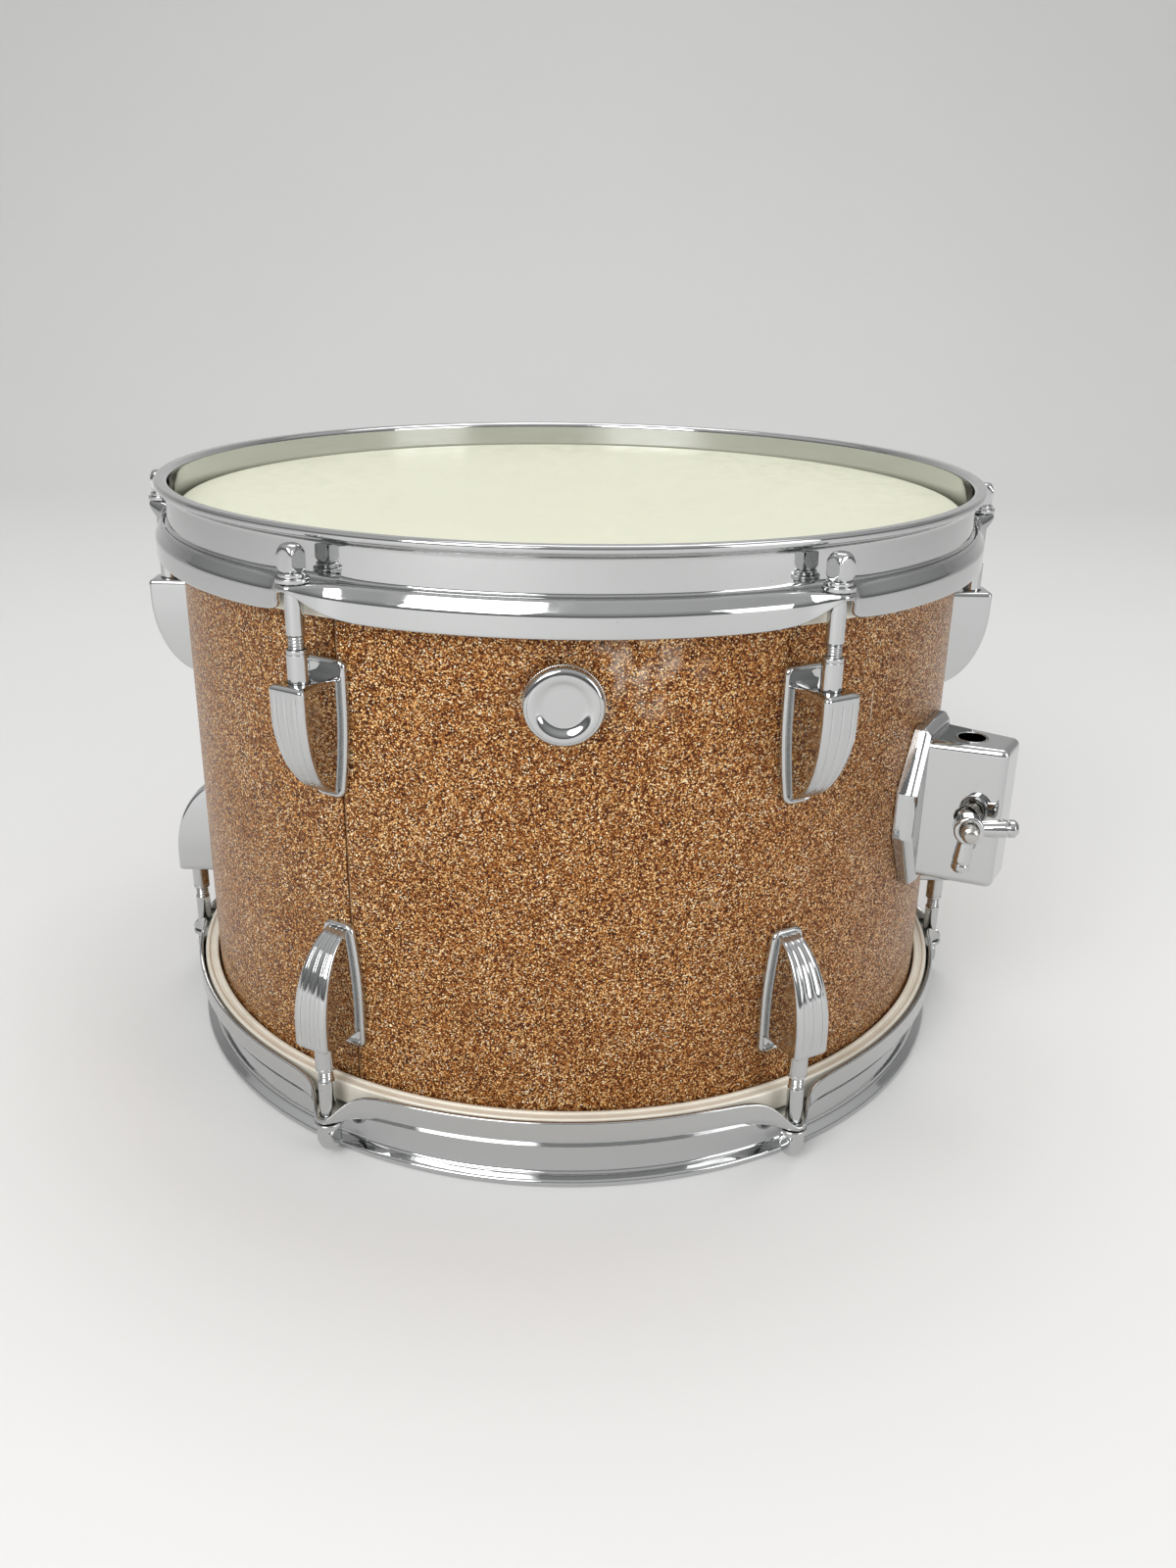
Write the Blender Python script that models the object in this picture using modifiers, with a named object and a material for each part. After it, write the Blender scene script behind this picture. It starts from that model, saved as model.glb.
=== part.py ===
"""A 12 x 8 inch tom-tom, with its drum axis on +Z and its front towards -Y.

The batter side is on top. The drum stands on the rim of its resonant hoop, at z = 0.
Azimuths turn from the front (-Y) towards +X. Heights of the batter side are worked out
from its rim, and the resonant side is the same set of pieces turned upside down.
"""

import math

import bmesh
import bpy
from mathutils import Matrix, Vector

MM = 0.001
CLEARANCE = 0.3 * MM
RING_STEPS = 72
ROUND_STEPS = 12

# Shell and wrap
SHELL_DEPTH = 203.2 * MM
WRAP_RADIUS = 152.4 * MM
WRAP_THICKNESS = 0.8 * MM
SHELL_WALL = 6.5 * MM
EDGE_CREST_INSET = 1.7 * MM
EDGE_ROUND_HEIGHT = 2.2 * MM
WRAP_END_INSET = 3.2 * MM
SEAM_AZIMUTH = -28.5
SEAM_WIDTH = 0.6 * MM

# Heads and flesh hoops
FILM_THICKNESS = 0.3 * MM
RIM_ABOVE_HEAD = 10.2 * MM
FILM_FLAT_INSET = 3.3 * MM
FILM_SHOULDER_DROP = 2.2 * MM
FILM_SKIRT = 8.8 * MM
FLESH_HOOP_WIDTH = 5.3 * MM
FLESH_HOOP_HEIGHT = 9.2 * MM
FLESH_HOOP_ROUND = 0.8 * MM

# Pressed hoops
HOOP_SHEET = 1.6 * MM
HOOP_WALL_OUTSIDE_WRAP = 4.1 * MM
RIM_FLARE = 3.6 * MM
RIM_LIP = 2.7 * MM
LEDGE_DROP = 15.8 * MM
LEDGE_BEND = 1.6 * MM
FLANGE_GAP = 1.0 * MM
FLANGE_SHOULDER = 4.4 * MM
FLANGE_DROP = 27.7 * MM
EAR_BEYOND_ROD = 5.2 * MM
EAR_THICKNESS = 2.1 * MM
EAR_REACH = 6.5 * MM
EAR_FALL = 2.6
EAR_COLUMNS = (3.0 * MM, 6.0 * MM, 10.0 * MM, 20.0 * MM)
PLAIN_STEPS = 3

# Lugs, rods and swivel nuts
LUG_COUNT = 6
ROD_GAP = 1.35 * MM
LUG_BELOW_RIM = 41.6 * MM
LUG_BASE_LENGTH = 47.5 * MM
LUG_BASE_WIDTH = 17.8 * MM
LUG_BASE_THICKNESS = 2.3 * MM
LUG_BASE_CORNER = 3.0 * MM
LUG_BAND_WALL = 3.65 * MM
LUG_BODY_WIDTH = 13.4 * MM
LUG_BODY_DROP = 5.6 * MM
LUG_BODY_FOOT = 3.6 * MM
LUG_STRAIGHT = 8.0 * MM
LUG_ROUND_STEPS = 6
LUG_CHAMFER = 1.1 * MM
NUT_RADIUS = 3.45 * MM
NUT_PROUD = 10.9 * MM
NUT_LENGTH = 28.0 * MM
ROD_STEPS = 10
THREAD_RADIUS = 2.4 * MM
THREAD_SHOWN = 4.4 * MM
SHANK_RADIUS = 2.75 * MM
ROD_SHORT_OF_NUT_END = 3.0 * MM
WASHER_RADIUS = 5.3 * MM
WASHER_THICKNESS = 1.6 * MM
COLLAR_RADIUS = 4.2 * MM
COLLAR_THICKNESS = 1.4 * MM
KEY_SIZE = 6.35 * MM
KEY_HEIGHT = 9.5 * MM

# Muffler
MUFFLER_BELOW_RIM = 48.8 * MM
KNOB_RADIUS = 12.8 * MM
KNOB_THICKNESS = 7.0 * MM
KNOB_GRIP = 5.2 * MM
KNOB_RING_INSET = 2.75 * MM
KNOB_DISH_FILLET = 3.1 * MM
KNOB_DISH_DEPTH = 1.2 * MM
KNOB_SOCKET_DEPTH = 4.0 * MM
KNOB_STEPS = 24
SPINDLE_RADIUS = 3.0 * MM
BUSHING_WALL = 1.4 * MM
BUSHING_RIM = 2.3 * MM
BUSHING_FLANGE = 1.2 * MM
BUSHING_INSIDE = 5.0 * MM
LOCKNUT_WALL = 2.3 * MM
LOCKNUT_THICKNESS = 3.0 * MM
ARM_WIDTH = 10.0 * MM
ARM_END_ROUND = 4.5 * MM
ARM_THICKNESS = 1.8 * MM
ARM_REST_ANGLE = 10.0
ARM_SWING = 60.0
ARM_PIN_RADIUS = 2.2 * MM
PAD_RADIUS = 11.0 * MM
PAD_THICKNESS = 11.0 * MM
PAD_FROM_SHELL = 10.2 * MM
PAD_SHORT_OF_FILM = 0.5 * MM

# Bracket
BRACKET_AZIMUTH = 60.0
BRACKET_ABOVE_MIDDLE = 3.3 * MM
FLANGE_HALF_HEIGHT = 31.0 * MM
FLANGE_MID_HALF_HEIGHT = 8.8 * MM
FLANGE_MID_HALF_WIDTH = 23.5 * MM
FLANGE_END_HALF_WIDTH = 12.5 * MM
BRACKET_FLANGE = 5.8 * MM
BRACKET_FLANGE_BEVEL = 2.0 * MM
BOX_DEPTH = 27.0 * MM
BOX_HEIGHT = 53.6 * MM
BOX_DRAFT = 8.4
BOX_WALL = 2.0 * MM
BOX_ROUND = 2.0 * MM
ARM_HOLE_RADIUS = 5.0 * MM
ARM_HOLE_REACH = 17.3 * MM
EYE_WALL = 2.7 * MM
EYE_HEIGHT = 7.0 * MM
EYE_ROOM = 1.2 * MM
BOLT_TILT = 20.0
BOLT_RADIUS = 3.0 * MM
BOLT_ROOM = 1.2 * MM
BOLT_BEYOND_WING = 8.0 * MM
WING_HUB_RADIUS = 5.4 * MM
WING_HUB_LENGTH = 6.0 * MM
WING_FROM_BOX = 10.8 * MM
WING_PEG_RADIUS = 3.3 * MM
WING_PEG_REACH = 17.0 * MM
WING_PEG_ROUND = 1.3 * MM
WING_PEG_ANGLES = (5.0, -95.0)
BACKING_THICKNESS = 2.0 * MM
BACKING_MARGIN = 6.5 * MM
SCREW_RADIUS = 2.4 * MM
SCREW_HEAD_WIDTH = 8.0 * MM
SCREW_HEAD = 3.5 * MM
SCREW_FROM_BOX = 4.8 * MM
SCREW_SPAN_UP = 28.0 * MM
SCREW_GRIP = 4.2 * MM
SCREW_STEPS = 10

# Worked out from the values above
SHELL_RADIUS = WRAP_RADIUS - WRAP_THICKNESS - CLEARANCE
SHELL_INNER = SHELL_RADIUS - SHELL_WALL
SHELL_TO_RIM = CLEARANCE + FILM_THICKNESS + RIM_ABOVE_HEAD
TOTAL_HEIGHT = SHELL_DEPTH + 2 * SHELL_TO_RIM
LEDGE_Z = TOTAL_HEIGHT - LEDGE_DROP
EAR_UNDERSIDE_Z = LEDGE_Z - EAR_THICKNESS
FLESH_HOOP_INNER = WRAP_RADIUS + FILM_THICKNESS + 2 * CLEARANCE
HOOP_WALL_RADIUS = WRAP_RADIUS + HOOP_WALL_OUTSIDE_WRAP
RIM_RADIUS = HOOP_WALL_RADIUS + RIM_FLARE
FLANGE_RADIUS = FLESH_HOOP_INNER + FLESH_HOOP_WIDTH + FLANGE_GAP + HOOP_SHEET
ROD_CIRCLE = FLANGE_RADIUS + ROD_GAP + SHANK_RADIUS
EAR_RADIUS = ROD_CIRCLE + EAR_BEYOND_ROD
LUG_TOP_Z = TOTAL_HEIGHT - LUG_BELOW_RIM
LUG_CENTRE_Z = LUG_TOP_Z - LUG_BASE_LENGTH / 2
LUG_SEAT = WRAP_RADIUS + CLEARANCE
LUG_REACH = ROD_CIRCLE - WRAP_RADIUS + NUT_RADIUS + LUG_BAND_WALL
LUG_AZIMUTHS = [360.0 / LUG_COUNT * (place + 0.5) for place in range(LUG_COUNT)]
NUT_TOP_Z = LUG_TOP_Z - LUG_BODY_DROP + NUT_PROUD
NUT_BORE = THREAD_RADIUS + CLEARANCE
SHANK_LENGTH = LEDGE_Z - NUT_TOP_Z - THREAD_SHOWN
ROD_LENGTH = LEDGE_Z - NUT_TOP_Z + NUT_LENGTH - ROD_SHORT_OF_NUT_END
MUFFLER_Z = TOTAL_HEIGHT - MUFFLER_BELOW_RIM
KNOB_RING_RADIUS = KNOB_RADIUS - KNOB_RING_INSET
KNOB_DISH_RADIUS = KNOB_RING_RADIUS - KNOB_DISH_FILLET
BUSHING_RADIUS = SPINDLE_RADIUS + CLEARANCE + BUSHING_WALL
BUSHING_FLANGE_RADIUS = BUSHING_RADIUS + BUSHING_RIM
LOCKNUT_WIDTH = 2 * (BUSHING_RADIUS + LOCKNUT_WALL)
ARM_INSIDE = PAD_FROM_SHELL + PAD_THICKNESS + CLEARANCE
PAD_TOP_REACH = MUFFLER_BELOW_RIM - RIM_ABOVE_HEAD - FILM_THICKNESS - PAD_SHORT_OF_FILM
ARM_LENGTH = (PAD_TOP_REACH - PAD_RADIUS) / math.sin(math.radians(ARM_REST_ANGLE + ARM_SWING))
BRACKET_HEIGHT = TOTAL_HEIGHT / 2 + BRACKET_ABOVE_MIDDLE
EYE_RADIUS = ARM_HOLE_RADIUS + CLEARANCE + EYE_WALL
BOX_WIDTH = 2 * (EYE_RADIUS + EYE_ROOM + BOX_WALL)
BOLT_HOLE_RADIUS = BOLT_RADIUS + BOLT_ROOM
WING_PLACE = BOX_WIDTH / 2 + WING_FROM_BOX
BOLT_LENGTH = WING_PLACE + BOLT_BEYOND_WING
SCREW_SPAN_ACROSS = BOX_WIDTH + 2 * SCREW_FROM_BOX
BACKING_WIDTH = SCREW_SPAN_ACROSS + 2 * BACKING_MARGIN
BACKING_HEIGHT = SCREW_SPAN_UP + 2 * BACKING_MARGIN


def clear_scene():
    """Removes whatever the file holds."""
    for item in list(bpy.data.objects):
        bpy.data.objects.remove(item, do_unlink=True)


def make_collection(name):
    """Adds a collection to the scene."""
    collection = bpy.data.collections.new(name)
    bpy.context.scene.collection.children.link(collection)
    return collection


def make_material(name, colour, roughness, metallic):
    """A Principled material of one colour."""
    material = bpy.data.materials.new(name)
    material.use_nodes = True
    shader = material.node_tree.nodes["Principled BSDF"]
    shader.inputs["Base Color"].default_value = (*colour, 1.0)
    shader.inputs["Roughness"].default_value = roughness
    shader.inputs["Metallic"].default_value = metallic
    return material


def make_materials():
    """The finishes of the drum's pieces, by name."""
    return {
        "chrome": make_material("chrome", (0.80, 0.80, 0.82), 0.08, 1.0),
        "steel": make_material("steel", (0.55, 0.55, 0.56), 0.35, 1.0),
        "aluminium": make_material("aluminium", (0.72, 0.72, 0.72), 0.45, 1.0),
        "wood": make_material("wood", (0.52, 0.34, 0.19), 0.55, 0.0),
        "sparkle": make_material("sparkle", (0.52, 0.30, 0.16), 0.20, 0.25),
        "film": make_material("film", (0.88, 0.87, 0.78), 0.50, 0.0),
        "felt": make_material("felt", (0.80, 0.78, 0.72), 0.95, 0.0),
    }


def turn(azimuth):
    """The turn about +Z that carries the front to an azimuth in degrees."""
    return Matrix.Rotation(math.radians(azimuth), 4, "Z")


def at_front(radius, height):
    """The place on the drum's front at a radius and a height."""
    return Matrix.Translation((0.0, -radius, height))


class Builder:
    """Adds the drum's objects and the cutters that shape them."""

    def __init__(self):
        self.parts = make_collection("tom_tom")
        self.cutters = make_collection("cutters")
        self.finishes = make_materials()
        self.root = bpy.data.objects.new("drum_axis", None)
        self.parts.objects.link(self.root)

    def add(self, name, mesh, finish=None, place=None, parent=None):
        """Links a mesh as a named piece; a piece with no finish is a cutter."""
        item = bpy.data.objects.new(name, mesh)
        if finish is None:
            self.cutters.objects.link(item)
            item.hide_render = True
            item.display_type = "WIRE"
        else:
            self.parts.objects.link(item)
            item.parent = parent or self.root
            if not mesh.materials:
                mesh.materials.append(self.finishes[finish])
        if place is not None:
            item.matrix_basis = place
        return item

    def empty(self, name, place):
        """An empty on a joint's axis, which the moving pieces hang from."""
        item = bpy.data.objects.new(name, None)
        self.parts.objects.link(item)
        item.parent = self.root
        item.matrix_basis = place
        return item

    def baked(self, item):
        """The evaluated mesh of an object, which is then removed."""
        bpy.context.view_layer.update()
        evaluated = item.evaluated_get(bpy.context.evaluated_depsgraph_get())
        mesh = bpy.data.meshes.new_from_object(evaluated)
        mesh.transform(item.matrix_world)
        bpy.data.objects.remove(item, do_unlink=True)
        shape = bmesh.new()
        shape.from_mesh(mesh)
        bmesh.ops.remove_doubles(shape, verts=shape.verts, dist=1e-6)
        shape.to_mesh(mesh)
        shape.free()
        return mesh


def combine(item, tool, operation):
    """Adds a Boolean of a piece with a tool."""
    modifier = item.modifiers.new(tool.name, "BOOLEAN")
    modifier.operation = operation
    modifier.solver = "EXACT"
    modifier.object = tool


def smooth(mesh):
    """Shades a round mesh smooth, with its corners kept."""
    mesh.shade_smooth()
    mesh.set_sharp_from_angle(angle=math.radians(35))


def turned(build, name, profile, steps, closed=True):
    """A turned mesh. The profile holds (radius, height), down its outer side first."""
    line = bpy.data.meshes.new(name)
    count = len(profile)
    edges = [(index, index + 1) for index in range(count - 1)]
    if closed:
        edges.append((count - 1, 0))
    line.from_pydata([(radius, 0.0, height) for radius, height in profile], edges, [])
    item = build.add(name + "_turning", line)
    screw = item.modifiers.new("turn", "SCREW")
    screw.axis = "Z"
    screw.steps = steps
    screw.render_steps = steps
    screw.use_merge_vertices = True
    screw.merge_threshold = 1e-5
    mesh = build.baked(item)
    smooth(mesh)
    return mesh


def rod_mesh_between(radius, start, end, steps):
    """A capped cylinder along +Z, from one height to another."""
    mesh = bpy.data.meshes.new("cylinder")
    shape = bmesh.new()
    bmesh.ops.create_cone(
        shape, cap_ends=True, segments=steps, radius1=radius, radius2=radius,
        depth=end - start, matrix=Matrix.Translation((0.0, 0.0, (start + end) / 2)),
    )
    shape.to_mesh(mesh)
    shape.free()
    smooth(mesh)
    return mesh


def box_mesh(size, centre=(0.0, 0.0, 0.0)):
    """A box of a size (x, y, z) about a centre."""
    mesh = bpy.data.meshes.new("box")
    shape = bmesh.new()
    place = Matrix.Translation(centre) @ Matrix.Diagonal((*size, 1.0))
    bmesh.ops.create_cube(shape, size=1.0, matrix=place)
    shape.to_mesh(mesh)
    shape.free()
    return mesh


def drafted_box_mesh(near, far, height, half_width):
    """A box from a near to a far reach outwards (-Y), with a half width that depends on the reach."""
    mesh = box_mesh((2.0, far - near, height), (0.0, -(far + near) / 2, 0.0))
    for vertex in mesh.vertices:
        vertex.co.x *= half_width(-vertex.co.y)
    return mesh


def plate_mesh(build, name, outline, thickness):
    """A flat outline in XY, thickened evenly to both sides of it."""
    curve = bpy.data.curves.new(name, "CURVE")
    curve.dimensions = "2D"
    curve.fill_mode = "BOTH"
    curve.extrude = thickness / 2
    spline = curve.splines.new("POLY")
    spline.points.add(len(outline) - 1)
    for point, (across, up) in zip(spline.points, outline):
        point.co = (across, up, 0.0, 1.0)
    spline.use_cyclic_u = True
    return build.baked(build.add(name + "_outline", curve))


def rounded_rectangle(width, height, corner, steps=3):
    """The outline of a rectangle about the origin, with round corners."""
    outline = []
    for quarter in range(4):
        side_x = 1 if quarter in (0, 3) else -1
        side_y = 1 if quarter in (0, 1) else -1
        for step in range(steps + 1):
            angle = math.pi / 2 * (quarter + step / steps)
            outline.append((
                side_x * (width / 2 - corner) + corner * math.cos(angle),
                side_y * (height / 2 - corner) + corner * math.sin(angle),
            ))
    return outline


def facing_front():
    """Stands an XY outline up, facing -Y, with its X across and its Y up."""
    return Matrix.Rotation(math.pi / 2, 4, "X")


def side_on():
    """Stands an XY outline up across X, with its X outwards (-Y) and its Y up."""
    axes = Matrix(((0, 0, -1), (-1, 0, 0), (0, 1, 0)))
    return axes.to_4x4()


def add_bevel(item, width, segments=1):
    """Rounds the sharp edges of a piece."""
    bevel = item.modifiers.new("edges", "BEVEL")
    bevel.width = width
    bevel.segments = segments
    bevel.limit_method = "ANGLE"
    bevel.angle_limit = math.radians(40)


def shell_profile():
    """The shell's wall, with a bearing edge at each end."""
    top = TOTAL_HEIGHT - SHELL_TO_RIM
    bottom = SHELL_TO_RIM
    crest = SHELL_RADIUS - EDGE_CREST_INSET
    bevel = crest - SHELL_INNER
    near = (SHELL_RADIUS - EDGE_CREST_INSET / 2, EDGE_ROUND_HEIGHT / 4)
    return [
        (crest, top), (near[0], top - near[1]), (SHELL_RADIUS, top - EDGE_ROUND_HEIGHT),
        (SHELL_RADIUS, bottom + EDGE_ROUND_HEIGHT), (near[0], bottom + near[1]), (crest, bottom),
        (SHELL_INNER, bottom + bevel), (SHELL_INNER, top - bevel),
    ]


def wrap_profile():
    """The plastic sheet round the shell, short of both bearing edges."""
    top = TOTAL_HEIGHT - SHELL_TO_RIM - WRAP_END_INSET
    bottom = SHELL_TO_RIM + WRAP_END_INSET
    inner = SHELL_RADIUS + CLEARANCE
    return [(WRAP_RADIUS, top), (WRAP_RADIUS, bottom), (inner, bottom), (inner, top)]


def film_profile():
    """The batter head's film: flat, turned down over the shell into its flesh hoop."""
    top = TOTAL_HEIGHT - RIM_ABOVE_HEAD
    outer = WRAP_RADIUS + CLEARANCE + FILM_THICKNESS
    inner = WRAP_RADIUS + CLEARANCE
    flat = outer - FILM_FLAT_INSET
    shoulder = top - FILM_SHOULDER_DROP
    return [
        (0.0, top), (flat, top), (outer, shoulder), (outer, top - FILM_SKIRT),
        (inner, top - FILM_SKIRT), (inner, shoulder - FILM_THICKNESS / 2),
        (flat - FILM_THICKNESS / 2, top - FILM_THICKNESS), (0.0, top - FILM_THICKNESS),
    ]


def flesh_hoop_profile():
    """The ring that holds the film, under the hoop's ledge."""
    top = EAR_UNDERSIDE_Z - CLEARANCE
    bottom = top - FLESH_HOOP_HEIGHT
    inner = FLESH_HOOP_INNER
    outer = inner + FLESH_HOOP_WIDTH
    rounding = FLESH_HOOP_ROUND
    return [
        (outer - rounding, top), (outer, top - 2 * rounding), (outer, bottom + rounding),
        (outer - rounding, bottom), (inner, bottom), (inner, top),
    ]


def ear_share(offset):
    """How far a section has become an ear: 1 at the rod, 1/2 at the ear's reach, about 0 between the ears."""
    away = math.radians(abs(offset)) * ROD_CIRCLE / EAR_REACH
    return 1 / (1 + away ** EAR_FALL)


def hoop_section(share):
    """The hoop's section at an ear share: plain flange at 0, flat ear at 1."""
    rim = TOTAL_HEIGHT
    wall_in = HOOP_WALL_RADIUS - HOOP_SHEET
    flange_in = FLANGE_RADIUS - HOOP_SHEET

    def between(plain, ear):
        """Blends a point of the plain section into one of the ear's."""
        return tuple(a + (b - a) * share for a, b in zip(plain, ear))

    return [
        (RIM_RADIUS - HOOP_SHEET, rim),
        (RIM_RADIUS, rim - RIM_LIP / 3),
        (RIM_RADIUS - RIM_LIP / 10, rim - RIM_LIP),
        (HOOP_WALL_RADIUS, rim - RIM_LIP - LEDGE_BEND),
        (HOOP_WALL_RADIUS, LEDGE_Z + LEDGE_BEND),
        (HOOP_WALL_RADIUS + LEDGE_BEND, LEDGE_Z),
        between((flange_in, LEDGE_Z - HOOP_SHEET / 2), (EAR_RADIUS - HOOP_SHEET / 2, LEDGE_Z)),
        between((FLANGE_RADIUS, LEDGE_Z - FLANGE_SHOULDER), (EAR_RADIUS, LEDGE_Z - EAR_THICKNESS / 3)),
        between((FLANGE_RADIUS, rim - FLANGE_DROP), (EAR_RADIUS, EAR_UNDERSIDE_Z)),
        between((flange_in, rim - FLANGE_DROP), (EAR_RADIUS - HOOP_SHEET, EAR_UNDERSIDE_Z)),
        between((flange_in, EAR_UNDERSIDE_Z), (FLANGE_RADIUS, EAR_UNDERSIDE_Z)),
        (wall_in, EAR_UNDERSIDE_Z),
        (wall_in, rim - RIM_LIP / 2),
        (wall_in + HOOP_SHEET / 2, rim),
    ]


def hoop_angles():
    """Azimuths of the hoop's sections, closer together at the ears."""
    half_pitch = 180.0 / LUG_COUNT
    columns = [0.0] + [math.degrees(away / ROD_CIRCLE) for away in EAR_COLUMNS]
    step = (half_pitch - columns[-1]) / PLAIN_STEPS
    columns += [columns[-1] + step * (place + 1) for place in range(PLAIN_STEPS)]
    offsets = [-value for value in reversed(columns[1:-1])] + columns
    return [(ear, offset) for ear in LUG_AZIMUTHS for offset in offsets]


def hoop_mesh():
    """The hoop as a loft through its sections, which differ from ear to ear."""
    mesh = bpy.data.meshes.new("hoop")
    shape = bmesh.new()
    rings = []
    for ear, offset in hoop_angles():
        angle = math.radians(ear + offset)
        ring = []
        for radius, height in hoop_section(ear_share(offset)):
            corner = (radius * math.sin(angle), -radius * math.cos(angle), height)
            ring.append(shape.verts.new(corner))
        rings.append(ring)
    count = len(rings[0])
    for index, ring in enumerate(rings):
        following = rings[(index + 1) % len(rings)]
        for point in range(count):
            after = (point + 1) % count
            shape.faces.new((ring[point], ring[after], following[after], following[point]))
    bmesh.ops.recalc_face_normals(shape, faces=shape.faces)
    shape.to_mesh(mesh)
    shape.free()
    smooth(mesh)
    return mesh


def ear_hole_mesh():
    """Six cylinders, one for each ear's rod hole."""
    mesh = bpy.data.meshes.new("ear_holes")
    shape = bmesh.new()
    for azimuth in LUG_AZIMUTHS:
        bmesh.ops.create_cone(
            shape, cap_ends=True, segments=ROD_STEPS, radius1=SHANK_RADIUS + 2 * CLEARANCE,
            radius2=SHANK_RADIUS + 2 * CLEARANCE, depth=4 * EAR_THICKNESS,
            matrix=turn(azimuth) @ at_front(ROD_CIRCLE, LEDGE_Z),
        )
    shape.to_mesh(mesh)
    shape.free()
    return mesh


def batter_hoop_mesh(build):
    """The hoop with its rod holes cut."""
    hoop = build.add("hoop_blank", hoop_mesh())
    holes = build.add("ear_holes", ear_hole_mesh())
    combine(hoop, holes, "DIFFERENCE")
    mesh = build.baked(hoop)
    bpy.data.objects.remove(holes, do_unlink=True)
    smooth(mesh)
    return mesh


def lug_outline():
    """The lug body's side view: outwards first, height second, about the base's middle."""
    top = LUG_BASE_LENGTH / 2 - LUG_BODY_DROP
    foot = LUG_BODY_FOOT - LUG_BASE_LENGTH / 2
    knee = top - LUG_STRAIGHT
    root = -LUG_BASE_THICKNESS
    outline = [(root, top), (LUG_REACH, top)]
    for step in range(LUG_ROUND_STEPS + 1):
        angle = math.pi / 2 * step / LUG_ROUND_STEPS
        outline.append((LUG_REACH * math.cos(angle), knee - (knee - foot) * math.sin(angle)))
    outline.append((root, foot))
    return outline


def lug_mesh(build):
    """A lug about its base's middle, outwards along -Y, open at the top for its nut."""
    side_view = plate_mesh(build, "lug_body", lug_outline(), LUG_BODY_WIDTH)
    body = build.add("lug_body", side_view, place=side_on())
    add_bevel(body, LUG_CHAMFER)
    outline = rounded_rectangle(LUG_BASE_WIDTH, LUG_BASE_LENGTH, LUG_BASE_CORNER, 2)
    thickness = 2 * LUG_BASE_THICKNESS
    base_plate = plate_mesh(build, "lug_base", outline, thickness)
    base = build.add("lug_base", base_plate, place=facing_front())
    combine(base, body, "UNION")
    drum = build.add(
        "lug_seat", rod_mesh_between(LUG_SEAT, -LUG_BASE_LENGTH, LUG_BASE_LENGTH, RING_STEPS),
        place=Matrix.Translation((0.0, WRAP_RADIUS, 0.0)),
    )
    combine(base, drum, "DIFFERENCE")
    nut_top = NUT_TOP_Z - LUG_CENTRE_Z
    nut_end = nut_top - NUT_LENGTH - CLEARANCE
    pocket = build.add(
        "nut_pocket", rod_mesh_between(NUT_RADIUS + CLEARANCE, nut_end, nut_top, ROD_STEPS),
        place=at_front(ROD_CIRCLE - WRAP_RADIUS, 0.0),
    )
    combine(base, pocket, "DIFFERENCE")
    mesh = build.baked(base)
    for tool in (body, drum, pocket):
        bpy.data.objects.remove(tool, do_unlink=True)
    smooth(mesh)
    return mesh


def rod_profile():
    """A tension rod about the ledge it bears on, at height zero."""
    seat = CLEARANCE
    washer = seat + WASHER_THICKNESS
    collar = washer + COLLAR_THICKNESS
    return [
        (0.0, collar), (COLLAR_RADIUS, collar), (COLLAR_RADIUS, washer), (WASHER_RADIUS, washer),
        (WASHER_RADIUS, seat), (SHANK_RADIUS, seat), (SHANK_RADIUS, -SHANK_LENGTH),
        (THREAD_RADIUS, -SHANK_LENGTH - SHANK_RADIUS / 4), (THREAD_RADIUS, -ROD_LENGTH), (0.0, -ROD_LENGTH),
    ]


def tension_rod_mesh(build):
    """A tension rod with its washer and square head."""
    rod = build.add("rod_blank", turned(build, "rod", rod_profile(), ROD_STEPS, closed=False))
    collar = CLEARANCE + WASHER_THICKNESS + COLLAR_THICKNESS
    centre = (0.0, 0.0, collar + (KEY_HEIGHT - COLLAR_THICKNESS) / 2)
    head = build.add("key_head", box_mesh((KEY_SIZE, KEY_SIZE, KEY_HEIGHT), centre))
    combine(rod, head, "UNION")
    mesh = build.baked(rod)
    bpy.data.objects.remove(head, do_unlink=True)
    smooth(mesh)
    return mesh


def nut_profile():
    """A swivel nut, hanging from its top at height zero."""
    return [(NUT_RADIUS, 0.0), (NUT_RADIUS, -NUT_LENGTH), (NUT_BORE, -NUT_LENGTH), (NUT_BORE, 0.0)]


def add_shell(build):
    """The shell and its wrap, drilled for the muffler and the bracket."""
    shell = build.add("shell", turned(build, "shell", shell_profile(), RING_STEPS), "wood")
    wrap = build.add("wrap", turned(build, "wrap", wrap_profile(), RING_STEPS), "sparkle")
    start, end = SHELL_INNER - 2 * SHELL_WALL, WRAP_RADIUS + SHELL_WALL
    bore = rod_mesh_between(BUSHING_RADIUS + CLEARANCE, start, end, ROUND_STEPS)
    tools = [build.add("muffler_drill", bore, place=muffler_frame())]
    for index, (across, up) in enumerate(bracket_screw_places()):
        bore = rod_mesh_between(SCREW_RADIUS + CLEARANCE, start, end, SCREW_STEPS)
        place = bracket_frame() @ on_bracket(across, up)
        tools.append(build.add(f"screw_drill_{index + 1}", bore, place=place))
    for tool in tools:
        combine(shell, tool, "DIFFERENCE")
        combine(wrap, tool, "DIFFERENCE")
    slot = build.add(
        "seam_slot", box_mesh((SEAM_WIDTH, 4 * SHELL_WALL, 2 * TOTAL_HEIGHT)),
        place=turn(SEAM_AZIMUTH) @ at_front(WRAP_RADIUS, TOTAL_HEIGHT / 2),
    )
    combine(wrap, slot, "DIFFERENCE")


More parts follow.
